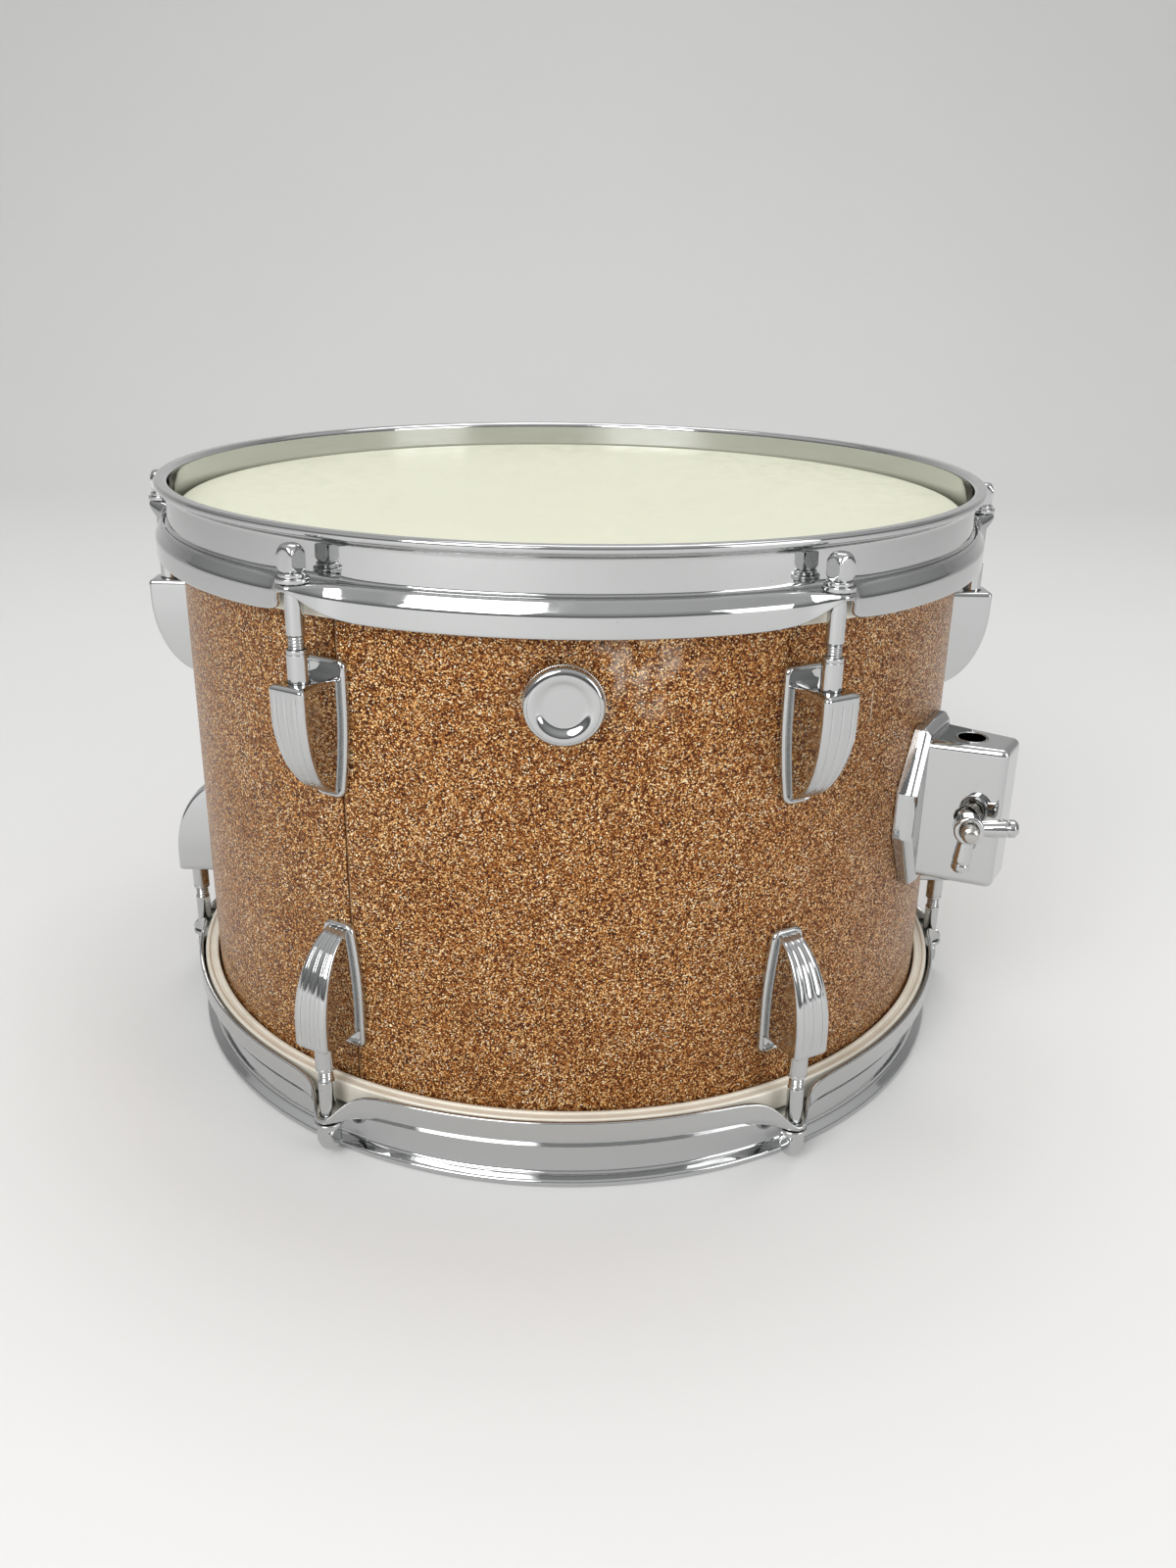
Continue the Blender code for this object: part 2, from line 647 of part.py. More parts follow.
def over():
    """The half turn about X at mid height that swaps the batter and resonant sides."""
    middle = Matrix.Translation((0.0, 0.0, TOTAL_HEIGHT / 2))
    return middle @ Matrix.Rotation(math.pi, 4, "X") @ middle.inverted()


def add_heads(build):
    """Both heads with their flesh hoops and pressed hoops, each under its own slide."""
    meshes = {
        "head": (turned(build, "film", film_profile(), RING_STEPS, closed=False), "film"),
        "flesh_hoop": (turned(build, "flesh_hoop", flesh_hoop_profile(), RING_STEPS), "aluminium"),
        "hoop": (batter_hoop_mesh(build), "chrome"),
    }
    sides = {}
    for side, place in (("batter", Matrix.Identity(4)), ("resonant", over())):
        sides[side] = build.empty(f"{side}_side", place)
        for piece, (mesh, finish) in meshes.items():
            build.add(f"{side}_{piece}", mesh, finish, parent=sides[side])
    return sides


def add_tuning(build, sides):
    """Lugs and swivel nuts on the shell, and the rods that hang from the hoops."""
    lug = lug_mesh(build)
    nut = turned(build, "swivel_nut", nut_profile(), ROD_STEPS)
    rod = tension_rod_mesh(build)
    for index, azimuth in enumerate(LUG_AZIMUTHS):
        spot = turn(azimuth)
        number = index + 1
        for side in sides:
            base = Matrix.Identity(4) if side == "batter" else over()
            lug_place = base @ spot @ at_front(WRAP_RADIUS, LUG_CENTRE_Z)
            nut_place = base @ spot @ at_front(ROD_CIRCLE, NUT_TOP_Z)
            rod_place = spot @ at_front(ROD_CIRCLE, LEDGE_Z)
            build.add(f"{side}_lug_{number}", lug, "chrome", lug_place)
            build.add(f"{side}_swivel_nut_{number}", nut, "steel", nut_place)
            build.add(f"{side}_rod_{number}", rod, "chrome", rod_place, sides[side])


def knob_profile():
    """The knob about its back face, outwards along +Z, with a socket for the spindle."""
    face = KNOB_THICKNESS
    grip = KNOB_GRIP
    dish = face - KNOB_DISH_DEPTH
    socket = SPINDLE_RADIUS + CLEARANCE
    return [
        (0.0, dish), (KNOB_DISH_RADIUS, dish),
        (KNOB_DISH_RADIUS + KNOB_DISH_DEPTH, face - KNOB_DISH_DEPTH / 3),
        (KNOB_RING_RADIUS, face), (KNOB_RADIUS - CLEARANCE, grip + KNOB_DISH_DEPTH), (KNOB_RADIUS, grip),
        (KNOB_RADIUS, 0.0), (socket, 0.0), (socket, KNOB_SOCKET_DEPTH), (0.0, KNOB_SOCKET_DEPTH),
    ]


def hexagon(width):
    """The outline of a hexagon of a width across its flats."""
    corner = width / math.sqrt(3)
    angles = [math.pi * side / 3 for side in range(6)]
    return [(corner * math.cos(angle), corner * math.sin(angle)) for angle in angles]


def add_bushing(build, front):
    """The flanged bushing through the shell and the locknut behind it."""
    seat = WRAP_RADIUS + CLEARANCE
    flange = seat + BUSHING_FLANGE
    end = SHELL_INNER - BUSHING_INSIDE
    bore = SPINDLE_RADIUS + CLEARANCE
    profile = [
        (BUSHING_FLANGE_RADIUS, flange), (BUSHING_FLANGE_RADIUS, seat), (BUSHING_RADIUS, seat),
        (BUSHING_RADIUS, end), (bore, end), (bore, flange),
    ]
    build.add("muffler_bushing", turned(build, "bushing", profile, ROUND_STEPS), "chrome", front)
    corner = LOCKNUT_WIDTH / math.sqrt(3)
    face = math.sqrt(SHELL_INNER ** 2 - corner ** 2) - CLEARANCE
    blank = plate_mesh(build, "locknut", hexagon(LOCKNUT_WIDTH), LOCKNUT_THICKNESS)
    middle = Matrix.Translation((0.0, 0.0, face - LOCKNUT_THICKNESS / 2))
    nut = build.add("muffler_locknut", blank, "steel", front @ middle)
    bore = rod_mesh_between(BUSHING_RADIUS + CLEARANCE, end, SHELL_INNER, ROUND_STEPS)
    combine(nut, build.add("locknut_bore", bore, place=front), "DIFFERENCE")


def add_muffler(build):
    """The knob, its spindle, and the arm that swings the felt pad up to the head."""
    front = muffler_frame()
    add_bushing(build, front)
    back = WRAP_RADIUS + 2 * CLEARANCE + BUSHING_FLANGE
    arm_face = SHELL_INNER - ARM_INSIDE
    inner_end = arm_face - 2 * ARM_THICKNESS
    tip = back + KNOB_SOCKET_DEPTH - CLEARANCE
    axis = build.empty("muffler_turn", front)
    knob = turned(build, "knob", knob_profile(), KNOB_STEPS, closed=False)
    build.add("muffler_knob", knob, "chrome", Matrix.Translation((0.0, 0.0, back)), axis)
    spindle = rod_mesh_between(SPINDLE_RADIUS, inner_end, tip, ROUND_STEPS)
    build.add("muffler_spindle", spindle, "steel", parent=axis)
    swing = Matrix.Rotation(-math.radians(ARM_REST_ANGLE), 4, "Z")
    corners = rounded_rectangle(ARM_LENGTH + ARM_WIDTH, ARM_WIDTH, ARM_END_ROUND)
    outline = [(across - ARM_LENGTH / 2, up) for across, up in corners]
    arm_place = swing @ Matrix.Translation((0.0, 0.0, arm_face - ARM_THICKNESS / 2))
    arm = build.add("muffler_arm", plate_mesh(build, "arm", outline, ARM_THICKNESS), "steel", arm_place, axis)
    pad_place = swing @ Matrix.Translation((-ARM_LENGTH, 0.0, arm_face))
    pin = rod_mesh_between(ARM_PIN_RADIUS, -ARM_THICKNESS / 2, PAD_THICKNESS, ROD_STEPS)
    combine(arm, build.add("arm_pin", pin, place=front @ pad_place), "UNION")
    bore = rod_mesh_between(SPINDLE_RADIUS + CLEARANCE, inner_end, arm_face + ARM_THICKNESS, ROUND_STEPS)
    combine(arm, build.add("arm_bore", bore, place=front), "DIFFERENCE")
    pad_bore = ARM_PIN_RADIUS + CLEARANCE
    near, far = CLEARANCE, CLEARANCE + PAD_THICKNESS
    profile = [(PAD_RADIUS, far), (PAD_RADIUS, near), (pad_bore, near), (pad_bore, far)]
    build.add("muffler_pad", turned(build, "pad", profile, ROUND_STEPS), "felt", pad_place, axis)


def muffler_frame():
    """The muffler's own frame: about the drum's axis at its height, +Z outwards."""
    return Matrix.Translation((0.0, 0.0, MUFFLER_Z)) @ facing_front()


def bracket_frame():
    """The bracket's own frame: about the drum's axis at its middle, outwards along -Y."""
    return turn(BRACKET_AZIMUTH) @ Matrix.Translation((0.0, 0.0, BRACKET_HEIGHT))


def on_bracket(across, up):
    """A spot on the bracket's flange, with +Z outwards."""
    return Matrix.Translation((across, 0.0, up)) @ facing_front()


def bracket_screw_places():
    """Where the bracket's screws stand: across and up from its middle."""
    across, up = SCREW_SPAN_ACROSS / 2, SCREW_SPAN_UP / 2
    return [(across, up), (across, -up), (-across, -up), (-across, up)]


def flange_outline():
    """The bracket flange's long octagon: across and up from its middle."""
    corners = [
        (FLANGE_END_HALF_WIDTH, -FLANGE_HALF_HEIGHT), (FLANGE_MID_HALF_WIDTH, -FLANGE_MID_HALF_HEIGHT),
        (FLANGE_MID_HALF_WIDTH, FLANGE_MID_HALF_HEIGHT), (FLANGE_END_HALF_WIDTH, FLANGE_HALF_HEIGHT),
    ]
    return corners + [(-across, up) for across, up in reversed(corners)]


def arm_hole_radius():
    """How far the arm hole stands from the drum's axis."""
    return WRAP_RADIUS + ARM_HOLE_REACH


def box_half_width(reach):
    """Half the box's width at a reach from the drum's axis: it narrows outwards past the arm hole."""
    return BOX_WIDTH / 2 + (arm_hole_radius() - reach) * math.tan(math.radians(BOX_DRAFT))


def cavity_half_width(reach):
    """Half the width of the hollow in the box, inside its walls."""
    return box_half_width(reach) - BOX_WALL


def bracket_tools(build, spot):
    """The shapes cut from the bracket, each with its place worked out from the drum."""
    far = WRAP_RADIUS + BRACKET_FLANGE + BOX_DEPTH - BOX_WALL
    near = WRAP_RADIUS - BRACKET_FLANGE
    cavity = drafted_box_mesh(near, far, BOX_HEIGHT - 2 * BOX_WALL, cavity_half_width)
    arm_hole = rod_mesh_between(ARM_HOLE_RADIUS, -BOX_HEIGHT, BOX_HEIGHT, ROUND_STEPS)
    hole_place = spot @ at_front(arm_hole_radius(), 0.0)
    lean = (BOX_WIDTH - BOX_WALL) / 2 * math.tan(math.radians(BOLT_TILT))
    sideways = Matrix.Rotation(-math.pi / 2, 4, "Y")
    bolt_hole = rod_mesh_between(BOLT_HOLE_RADIUS, 0.0, BOX_WIDTH, ROUND_STEPS)
    drum = rod_mesh_between(LUG_SEAT, -BOX_HEIGHT, BOX_HEIGHT, RING_STEPS)
    tools = [
        build.add("box_cavity", cavity, place=spot),
        build.add("arm_hole_drill", arm_hole, place=hole_place),
        build.add("bolt_drill", bolt_hole, place=hole_place @ at_front(lean, 0.0) @ sideways),
        build.add("bracket_seat", drum, place=spot),
    ]
    for index, (across, up) in enumerate(bracket_screw_places()):
        end = WRAP_RADIUS + SCREW_GRIP + CLEARANCE
        tap = rod_mesh_between(SCREW_RADIUS + CLEARANCE, WRAP_RADIUS - SHELL_WALL, end, SCREW_STEPS)
        tools.append(build.add(f"bracket_tap_{index + 1}", tap, place=spot @ on_bracket(across, up)))
    return tools


def add_bracket_body(build):
    """The cast body: an octagonal flange on the shell and a hollow box on it."""
    spot = bracket_frame()
    deep = WRAP_RADIUS - BRACKET_FLANGE
    face = WRAP_RADIUS + BRACKET_FLANGE
    blank = plate_mesh(build, "bracket_flange", flange_outline(), face - deep)
    middle = Matrix.Translation((0.0, -(face + deep) / 2, 0.0))
    flange = build.add("bracket_body", blank, "chrome", spot @ middle @ facing_front())
    add_bevel(flange, BRACKET_FLANGE_BEVEL)
    far = face + BOX_DEPTH
    near = face - BRACKET_FLANGE / 2
    block = drafted_box_mesh(near, far, BOX_HEIGHT, box_half_width)
    box = build.add("box_blank", block, place=spot)
    add_bevel(box, BOX_ROUND, 2)
    combine(flange, box, "UNION")
    for tool in bracket_tools(build, spot):
        combine(flange, tool, "DIFFERENCE")


def add_clamp(build):
    """The eyebolt round the arm hole and the wing nut on its stud."""
    lean = Matrix.Rotation(math.radians(BOLT_TILT), 4, "Z")
    sideways = Matrix.Rotation(-math.pi / 2, 4, "Y")
    frame = bracket_frame() @ at_front(arm_hole_radius(), 0.0) @ lean @ sideways
    slide = build.empty("eyebolt_slide", frame)
    half = EYE_HEIGHT / 2
    eye_bore = ARM_HOLE_RADIUS + CLEARANCE
    profile = [(EYE_RADIUS, half), (EYE_RADIUS, -half), (eye_bore, -half), (eye_bore, half)]
    stand = Matrix.Rotation(math.pi / 2, 4, "Y")
    eye = build.add("bracket_eyebolt", turned(build, "eye", profile, ROUND_STEPS), "steel", stand, slide)
    stud = rod_mesh_between(BOLT_RADIUS, (eye_bore + EYE_RADIUS) / 2, BOLT_LENGTH, ROUND_STEPS)
    combine(eye, build.add("eyebolt_stud", stud, place=frame), "UNION")
    hub_place = frame @ Matrix.Translation((0.0, 0.0, WING_PLACE))
    axis = build.empty("wing_nut_turn", hub_place)
    half = WING_HUB_LENGTH / 2
    blank = rod_mesh_between(WING_HUB_RADIUS, -half, half, ROUND_STEPS)
    hub = build.add("bracket_wing_nut", blank, "chrome", parent=axis)
    for index, angle in enumerate(WING_PEG_ANGLES):
        blank = rod_mesh_between(WING_PEG_RADIUS, BOLT_RADIUS, WING_PEG_REACH, ROD_STEPS)
        peg = build.add(f"wing_peg_{index + 1}", blank, place=hub_place @ peg_direction(angle))
        add_bevel(peg, WING_PEG_ROUND)
        combine(hub, peg, "UNION")
    bore = rod_mesh_between(BOLT_RADIUS + CLEARANCE, -BOX_WIDTH, BOX_WIDTH, ROUND_STEPS)
    combine(hub, build.add("wing_bore", bore, place=hub_place), "DIFFERENCE")


def peg_direction(angle):
    """Turns +Z to a wing peg's direction: 0 is outwards from the drum, 90 is up."""
    turned_by = math.radians(angle)
    direction = Vector((math.sin(turned_by), -math.cos(turned_by), 0.0))
    return direction.to_track_quat("Z", "Y").to_matrix().to_4x4()


def add_bracket_fasteners(build):
    """The backing plate inside the shell, and the screws through it."""
    spot = bracket_frame()
    face = math.sqrt(SHELL_INNER ** 2 - (BACKING_WIDTH / 2) ** 2) - 2 * CLEARANCE
    back = face - BACKING_THICKNESS
    block = box_mesh((BACKING_WIDTH, BACKING_THICKNESS, BACKING_HEIGHT), (0.0, -(face + back) / 2, 0.0))
    plate = build.add("bracket_backing_plate", block, "steel", spot)
    seat = back - CLEARANCE
    middle = Matrix.Translation((0.0, 0.0, seat - SCREW_HEAD / 2))
    for index, (across, up) in enumerate(bracket_screw_places()):
        number = index + 1
        place = spot @ on_bracket(across, up)
        bore = rod_mesh_between(SCREW_RADIUS + CLEARANCE, back - SHELL_WALL, face + SHELL_WALL, SCREW_STEPS)
        combine(plate, build.add(f"plate_drill_{number}", bore, place=place), "DIFFERENCE")
        shank = rod_mesh_between(SCREW_RADIUS, seat - SCREW_HEAD / 2, WRAP_RADIUS + SCREW_GRIP, SCREW_STEPS)
        screw = build.add(f"bracket_screw_{number}", shank, "steel", place)
        cap = plate_mesh(build, f"screw_head_{number}", hexagon(SCREW_HEAD_WIDTH), SCREW_HEAD)
        combine(screw, build.add(f"screw_head_{number}", cap, place=place @ middle), "UNION")


def main():
    """Builds the whole drum."""
    clear_scene()
    build = Builder()
    add_shell(build)
    sides = add_heads(build)
    add_tuning(build, sides)
    add_muffler(build)
    add_bracket_body(build)
    add_clamp(build)
    add_bracket_fasteners(build)
    bpy.context.view_layer.update()


main()
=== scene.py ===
"""The dressed tom-tom: its finished pieces, its finishes, and a plain pale studio.

Lengths are in metres. The drum's axis is +Z, its front faces -Y, and azimuths turn from
the front towards +X. Pieces of the resonant side are the batter side's, turned over.
"""

import logging
import math
from dataclasses import dataclass, field
from enum import Enum

import bmesh
import bpy
import numpy as np
from mathutils import Matrix, Vector


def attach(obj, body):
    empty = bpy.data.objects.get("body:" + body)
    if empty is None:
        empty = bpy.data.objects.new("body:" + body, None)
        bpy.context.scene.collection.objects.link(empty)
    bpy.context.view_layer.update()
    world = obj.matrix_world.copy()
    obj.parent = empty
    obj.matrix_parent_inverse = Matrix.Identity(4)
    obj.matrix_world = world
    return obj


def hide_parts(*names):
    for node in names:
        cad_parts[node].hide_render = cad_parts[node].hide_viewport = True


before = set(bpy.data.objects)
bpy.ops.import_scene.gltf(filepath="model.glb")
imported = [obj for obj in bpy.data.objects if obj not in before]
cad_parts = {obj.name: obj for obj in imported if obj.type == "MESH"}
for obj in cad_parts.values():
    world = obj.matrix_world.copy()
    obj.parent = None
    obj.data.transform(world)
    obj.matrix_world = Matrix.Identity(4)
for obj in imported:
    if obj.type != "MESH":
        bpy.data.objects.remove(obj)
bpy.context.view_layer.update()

Array = np.ndarray
LOG = logging.getLogger("tom_tom")
MM = 0.001
TINY = 1e-9
SHARP_ANGLE = 38.0
CORNER_ROOM = 0.46
GUARD_ROOM = 0.3
WIDEST_ARC = 3.14
DOUBLES = 2e-6


class Side(Enum):
    """The drum's two sides, by the name of the body that their hoops ride on."""

    BATTER = "batter"
    RESONANT = "resonant"

    @property
    def body(self) -> str:
        """The body that carries the side's head and hoops."""
        return f"{self.value}_side"


class Slot(Enum):
    """The record's material slots."""

    WRAP = "sparkle_wrap"
    COATED = "coated_film"
    CLEAR = "clear_film"
    ALUMINIUM = "aluminium"
    CHROME = "chrome"
    STEEL = "steel"
    FELT = "felt"
    WOOD = "shell_wood"


@dataclass(frozen=True)
class DrumSizes:
    """The drum's driving sizes, which every sub-assembly is placed by.

    Drops are measured down from the hoop's rim, and radii from the drum's axis.
    """

    shell_depth: float = 203.2 * MM
    wrap_radius: float = 152.4 * MM
    wrap_thickness: float = 0.8 * MM
    clearance: float = 0.3 * MM
    film: float = 0.3 * MM
    rim_above_head: float = 10.2 * MM
    ledge_drop: float = 15.8 * MM
    ear_thickness: float = 2.1 * MM
    hoop_wall: float = 156.5 * MM
    hoop_sheet: float = 1.6 * MM
    flange_radius: float = 161.2 * MM
    flange_drop: float = 27.7 * MM
    rim_radius: float = 160.1 * MM
    rod_circle: float = 165.3 * MM
    ear_radius: float = 170.5 * MM
    lug_below_rim: float = 41.6 * MM
    lug_length: float = 47.5 * MM
    lug_count: int = 6
    muffler_height: float = 176.0 * MM

    @property
    def height(self) -> float:
        """The drum's whole height, from rim to rim."""
        return self.shell_depth + 2 * (self.clearance + self.film + self.rim_above_head)

    @property
    def film_top(self) -> float:
        """The height of the batter head's playing face."""
        return self.height - self.rim_above_head

    @property
    def ledge(self) -> float:
        """The height of the ledge that the rods bear on."""
        return self.height - self.ledge_drop

    @property
    def ear_underside(self) -> float:
        """The height of the underside of the batter hoop's ears."""
        return self.ledge - self.ear_thickness

    @property
    def lug_azimuths(self) -> list[float]:
        """The azimuths of the lugs, in degrees."""
        return [360.0 / self.lug_count * (place + 0.5) for place in range(self.lug_count)]


SIZES = DrumSizes()


def turn(azimuth: float) -> Matrix:
    """The turn about +Z that carries the front to an azimuth in degrees."""
    return Matrix.Rotation(math.radians(azimuth), 4, "Z")


def at_front(radius: float, height: float) -> Matrix:
    """The place on the drum's front at a radius and a height."""
    return Matrix.Translation((0.0, -radius, height))


def outwards(height: float) -> Matrix:
    """The place on the drum's axis at a height, with +Z out through the front."""
    return Matrix.Translation((0.0, 0.0, height)) @ Matrix.Rotation(math.pi / 2, 4, "X")


def on_side(side: Side) -> Matrix:
    """The half turn about X at mid height for the resonant side, and none for the batter.

    Args:
        side: The side of the drum.

    Returns:
        The matrix from the batter side's place.
    """
    if side is Side.BATTER:
        return Matrix.Identity(4)
    middle = Matrix.Translation((0.0, 0.0, SIZES.height / 2))
    return middle @ Matrix.Rotation(math.pi, 4, "X") @ middle.inverted()


@dataclass(frozen=True)
class Surface:
    """A closed surface as points and four-sided faces, before it becomes a mesh."""

    points: Array
    faces: Array

    def placed(self, matrix: Matrix) -> "Surface":
        """The surface moved by a matrix."""
        move = np.array(matrix)
        return Surface(self.points @ move[:3, :3].T + move[:3, 3], self.faces)

    def joined(self, *others: "Surface") -> "Surface":
        """This surface and others as one.

        Args:
            others: The surfaces to add.

        Returns:
            One surface with all the points and faces.
        """
        points, faces, count = [self.points], [self.faces], len(self.points)
        for other in others:
            points.append(other.points)
            faces.append(other.faces + count)
            count += len(other.points)
        return Surface(np.concatenate(points), np.concatenate(faces))


def lattice(grid: Array, close_rows: bool = False, close_columns: bool = True) -> Surface:
    """Faces between the neighbours of a grid of points.

    Args:
        grid: Points as rows x columns x 3.
        close_rows: Whether the last row joins the first.
        close_columns: Whether the last column joins the first.

    Returns:
        The surface, whose face (i, j) is (i, j), (i, j+1), (i+1, j+1), (i+1, j).
    """
    rows, columns = grid.shape[:2]
    index = np.arange(rows * columns).reshape(rows, columns)
    if close_rows:
        index = np.concatenate([index, index[:1]], 0)
    if close_columns:
        index = np.concatenate([index, index[:, :1]], 1)
    corners = (index[:-1, :-1], index[:-1, 1:], index[1:, 1:], index[1:, :-1])
    return Surface(grid.reshape(-1, 3), np.stack([corner.ravel() for corner in corners], -1))


def rounded(corners: Array, radii: Array, steps: int = 5, guard: float = 0.25 * MM) -> Array:
    """A closed outline with its corners turned into arcs.

    At a corner C with unit directions a and b to its neighbours and half angle h, the arc
    touches its sides at C + a r / tan h and C + b r / tan h. Its middle is at
    C + (a + b) / |a + b| r / sin h.
    A guard point on each side of the arc keeps the flats flat when they are shaded.

    Args:
        corners: The corners, as ... x corners x 2.
        radii: The arc's radius at each corner, as ... x corners, cut down where it has no room.
        steps: The number of pieces of each arc.
        guard: The distance from an arc to its guard points.

    Returns:
        The outline's points, as ... x points x 2.
    """
    before, after = np.roll(corners, 1, -2) - corners, np.roll(corners, -1, -2) - corners
    length_before = np.linalg.norm(before, axis=-1, keepdims=True) + TINY
    length_after = np.linalg.norm(after, axis=-1, keepdims=True) + TINY
    a, b = before / length_before, after / length_after
    half = np.arccos(np.clip((a * b).sum(-1, keepdims=True), -0.999999, 0.999999)) / 2
    room = CORNER_ROOM * np.minimum(length_before, length_after)
    reach = np.minimum(np.asarray(radii)[..., None] / np.tan(half), room)
    radius = reach * np.tan(half)
    inwards = a + b
    inwards_length = np.linalg.norm(inwards, axis=-1, keepdims=True) + TINY
    middle = corners + inwards / inwards_length * radius / np.sin(half)
    start, end = corners + a * reach, corners + b * reach
    sweep = np.maximum(np.pi - 2 * half, 1e-4)
    part = np.linspace(0.0, 1.0, steps + 1)
    first = np.sin((1 - part) * sweep) / np.sin(np.minimum(sweep, WIDEST_ARC))
    last = np.sin(part * sweep) / np.sin(np.minimum(sweep, WIDEST_ARC))
    arc = (middle[..., None, :] + first[..., None] * (start - middle)[..., None, :]
           + last[..., None] * (end - middle)[..., None, :])
    margin_before = np.minimum(guard, GUARD_ROOM * (length_before - reach))
    margin_after = np.minimum(guard, GUARD_ROOM * (length_after - reach))
    path = np.concatenate([(start + a * margin_before)[..., None, :], arc,
                           (end + b * margin_after)[..., None, :]], -2)
    return path.reshape(*path.shape[:-3], -1, 2)


def full_turn(steps: int) -> Array:
    """The angles of a full turn, as one row."""
    return np.linspace(0.0, 2 * np.pi, steps, endpoint=False)[None]


def spun(radius: Array, height: Array, angle: Array, close_rows: bool = False) -> Surface:
    """Rings about +Z, with the point (r cos t, r sin t, z) at each ring and angle.

    Args:
        radius: The radius r of each ring, or of each of its points.
        height: The height z of each ring.
        angle: The angles t, as one row.
        close_rows: Whether the last ring joins the first.

    Returns:
        The surface.
    """
    grid = np.stack([radius * np.cos(angle), radius * np.sin(angle), height + 0 * angle], -1)
    return lattice(grid, close_rows=close_rows)


def capped(grid: Array, pairs: int) -> Surface:
    """Sections carried along a path, with the first and the last closed.

    An end section runs out and back, so its point i is joined to its point n - 1 - i.

    Args:
        grid: Points as sections x points x 3.
        pairs: The number of faces that close an end.

    Returns:
        The closed surface.
    """
    sheet, (rows, columns) = lattice(grid), grid.shape[:2]
    faces = [sheet.faces]
    for first in (0, (rows - 1) * columns):
        row = np.arange(columns) + first
        back = row[::-1]
        faces.append(np.stack([row[:pairs], row[1:pairs + 1],
                               back[1:pairs + 1], back[:pairs]], -1))
    return Surface(sheet.points, np.concatenate(faces))


def ringed(outline: Array, size: Array, rings: list[tuple[float, float]],
           gap: float) -> tuple[Array, Array, Array]:
    """An outline shrunk ring by ring towards its middle, each ring at its own height.

    A ring at inset d is the outline times (1 - d / half width, 1 - d / half length), and
    rings with the first one's inset shrink to a point. A ring whose height is NaN lies on
    the drum, at sqrt((R + gap)^2 - x^2) - R.

    Args:
        outline: The outline's points, as points x 2.
        size: Half the width and half the length.
        rings: (inset, height) of each ring, in millimetres.
        gap: The distance kept from the wrap.

    Returns:
        The rings' points, their heights, and the drum's heights under them.
    """
    inset, height = (np.array(rings) * MM).T
    scale = 1 - inset[:, None] / size
    scale[inset == inset[0]] = 0.0
    flat = outline[None] * scale[:, None]
    seat = np.sqrt((SIZES.wrap_radius + gap) ** 2 - flat[..., 0] ** 2) - SIZES.wrap_radius
    out = np.where(np.isnan(height)[:, None], seat, height[:, None] + 0 * seat)
    return flat, out, seat


def turned(profile: Array, steps: int) -> Surface:
    """A closed profile of (radius, height) turned about +Z.

    Point (r, z) goes to (r cos t, r sin t, z) for the angles t of a full turn.

    Args:
        profile: The profile's points, as points x 2.
        steps: Steps of a full turn.

    Returns:
        The turned surface.
    """
    return spun(profile[:, :1], profile[:, 1:], full_turn(steps), close_rows=True)


def turned_corners(corners: list[tuple[float, float, float]], steps: int,
                   arc: int = 5) -> Surface:
    """A turned piece from its profile's corners.

    Args:
        corners: (radius, height, rounding) of each corner, in millimetres.
        steps: Steps of a full turn.
        arc: Steps of each rounding.

    Returns:
        The turned surface.
    """
    table = np.array(corners) * MM
    return turned(rounded(table[:, :2], table[:, 2], arc), steps)


def smooth_step(value: Array) -> Array:
    """0 below 0, 1 above 1, and 3 v^2 - 2 v^3 between them."""
    inside = np.clip(value, 0.0, 1.0)
    return inside * inside * (3 - 2 * inside)


def thread(angle: Array, height: Array, pitch: float) -> Array:
    """The rise of a screw thread, from 0 at its root to 1 at its crest.

    It is steepness |2 frac(z / pitch - t / 2 pi) - 1| less the flat, held from 0 to 1.

    Args:
        angle: The angle t round the axis.
        height: The height z along it.
        pitch: The rise of one turn.

    Returns:
        The rise at each angle and height.
    """
    steepness, flat = 1.6, 0.3
    phase = np.mod(height / pitch - angle / (2 * np.pi), 1.0)
    return np.clip(steepness * np.abs(2 * phase - 1) - flat, 0.0, 1.0)


def to_mesh(name: str, surface: Surface, sharp: float = SHARP_ANGLE) -> bpy.types.Mesh:
    """A Blender mesh of a surface: doubles merged, faces outwards, smooth between corners.

    Args:
        name: The mesh's name.
        surface: Its points and faces.
        sharp: The angle in degrees past which an edge stays sharp.

    Returns:
        The mesh.
    """
    mesh = bpy.data.meshes.new(name)
    mesh.vertices.add(len(surface.points))
    mesh.vertices.foreach_set("co", surface.points.astype(np.float32).ravel())
    mesh.loops.add(surface.faces.size)
    mesh.loops.foreach_set("vertex_index", surface.faces.astype(np.int32).ravel())
    mesh.polygons.add(len(surface.faces))
    starts = np.arange(0, surface.faces.size, surface.faces.shape[1], dtype=np.int32)
    mesh.polygons.foreach_set("loop_start", starts)
    mesh.update(calc_edges=True)
    return cleaned(mesh, sharp)


def cleaned(mesh: bpy.types.Mesh, sharp: float = SHARP_ANGLE) -> bpy.types.Mesh:
    """Merges a mesh's doubles, turns its faces outwards and sets its shading.

    Args:
        mesh: The mesh, which is changed.
        sharp: The angle in degrees past which an edge stays sharp.

    Returns:
        The same mesh.
    """
    shape = bmesh.new()
    shape.from_mesh(mesh)
    bmesh.ops.remove_doubles(shape, verts=shape.verts, dist=DOUBLES)
    bmesh.ops.recalc_face_normals(shape, faces=shape.faces)
    shape.to_mesh(mesh)
    shape.free()
    mesh.shade_smooth()
    mesh.set_sharp_from_angle(angle=math.radians(sharp))
    return mesh


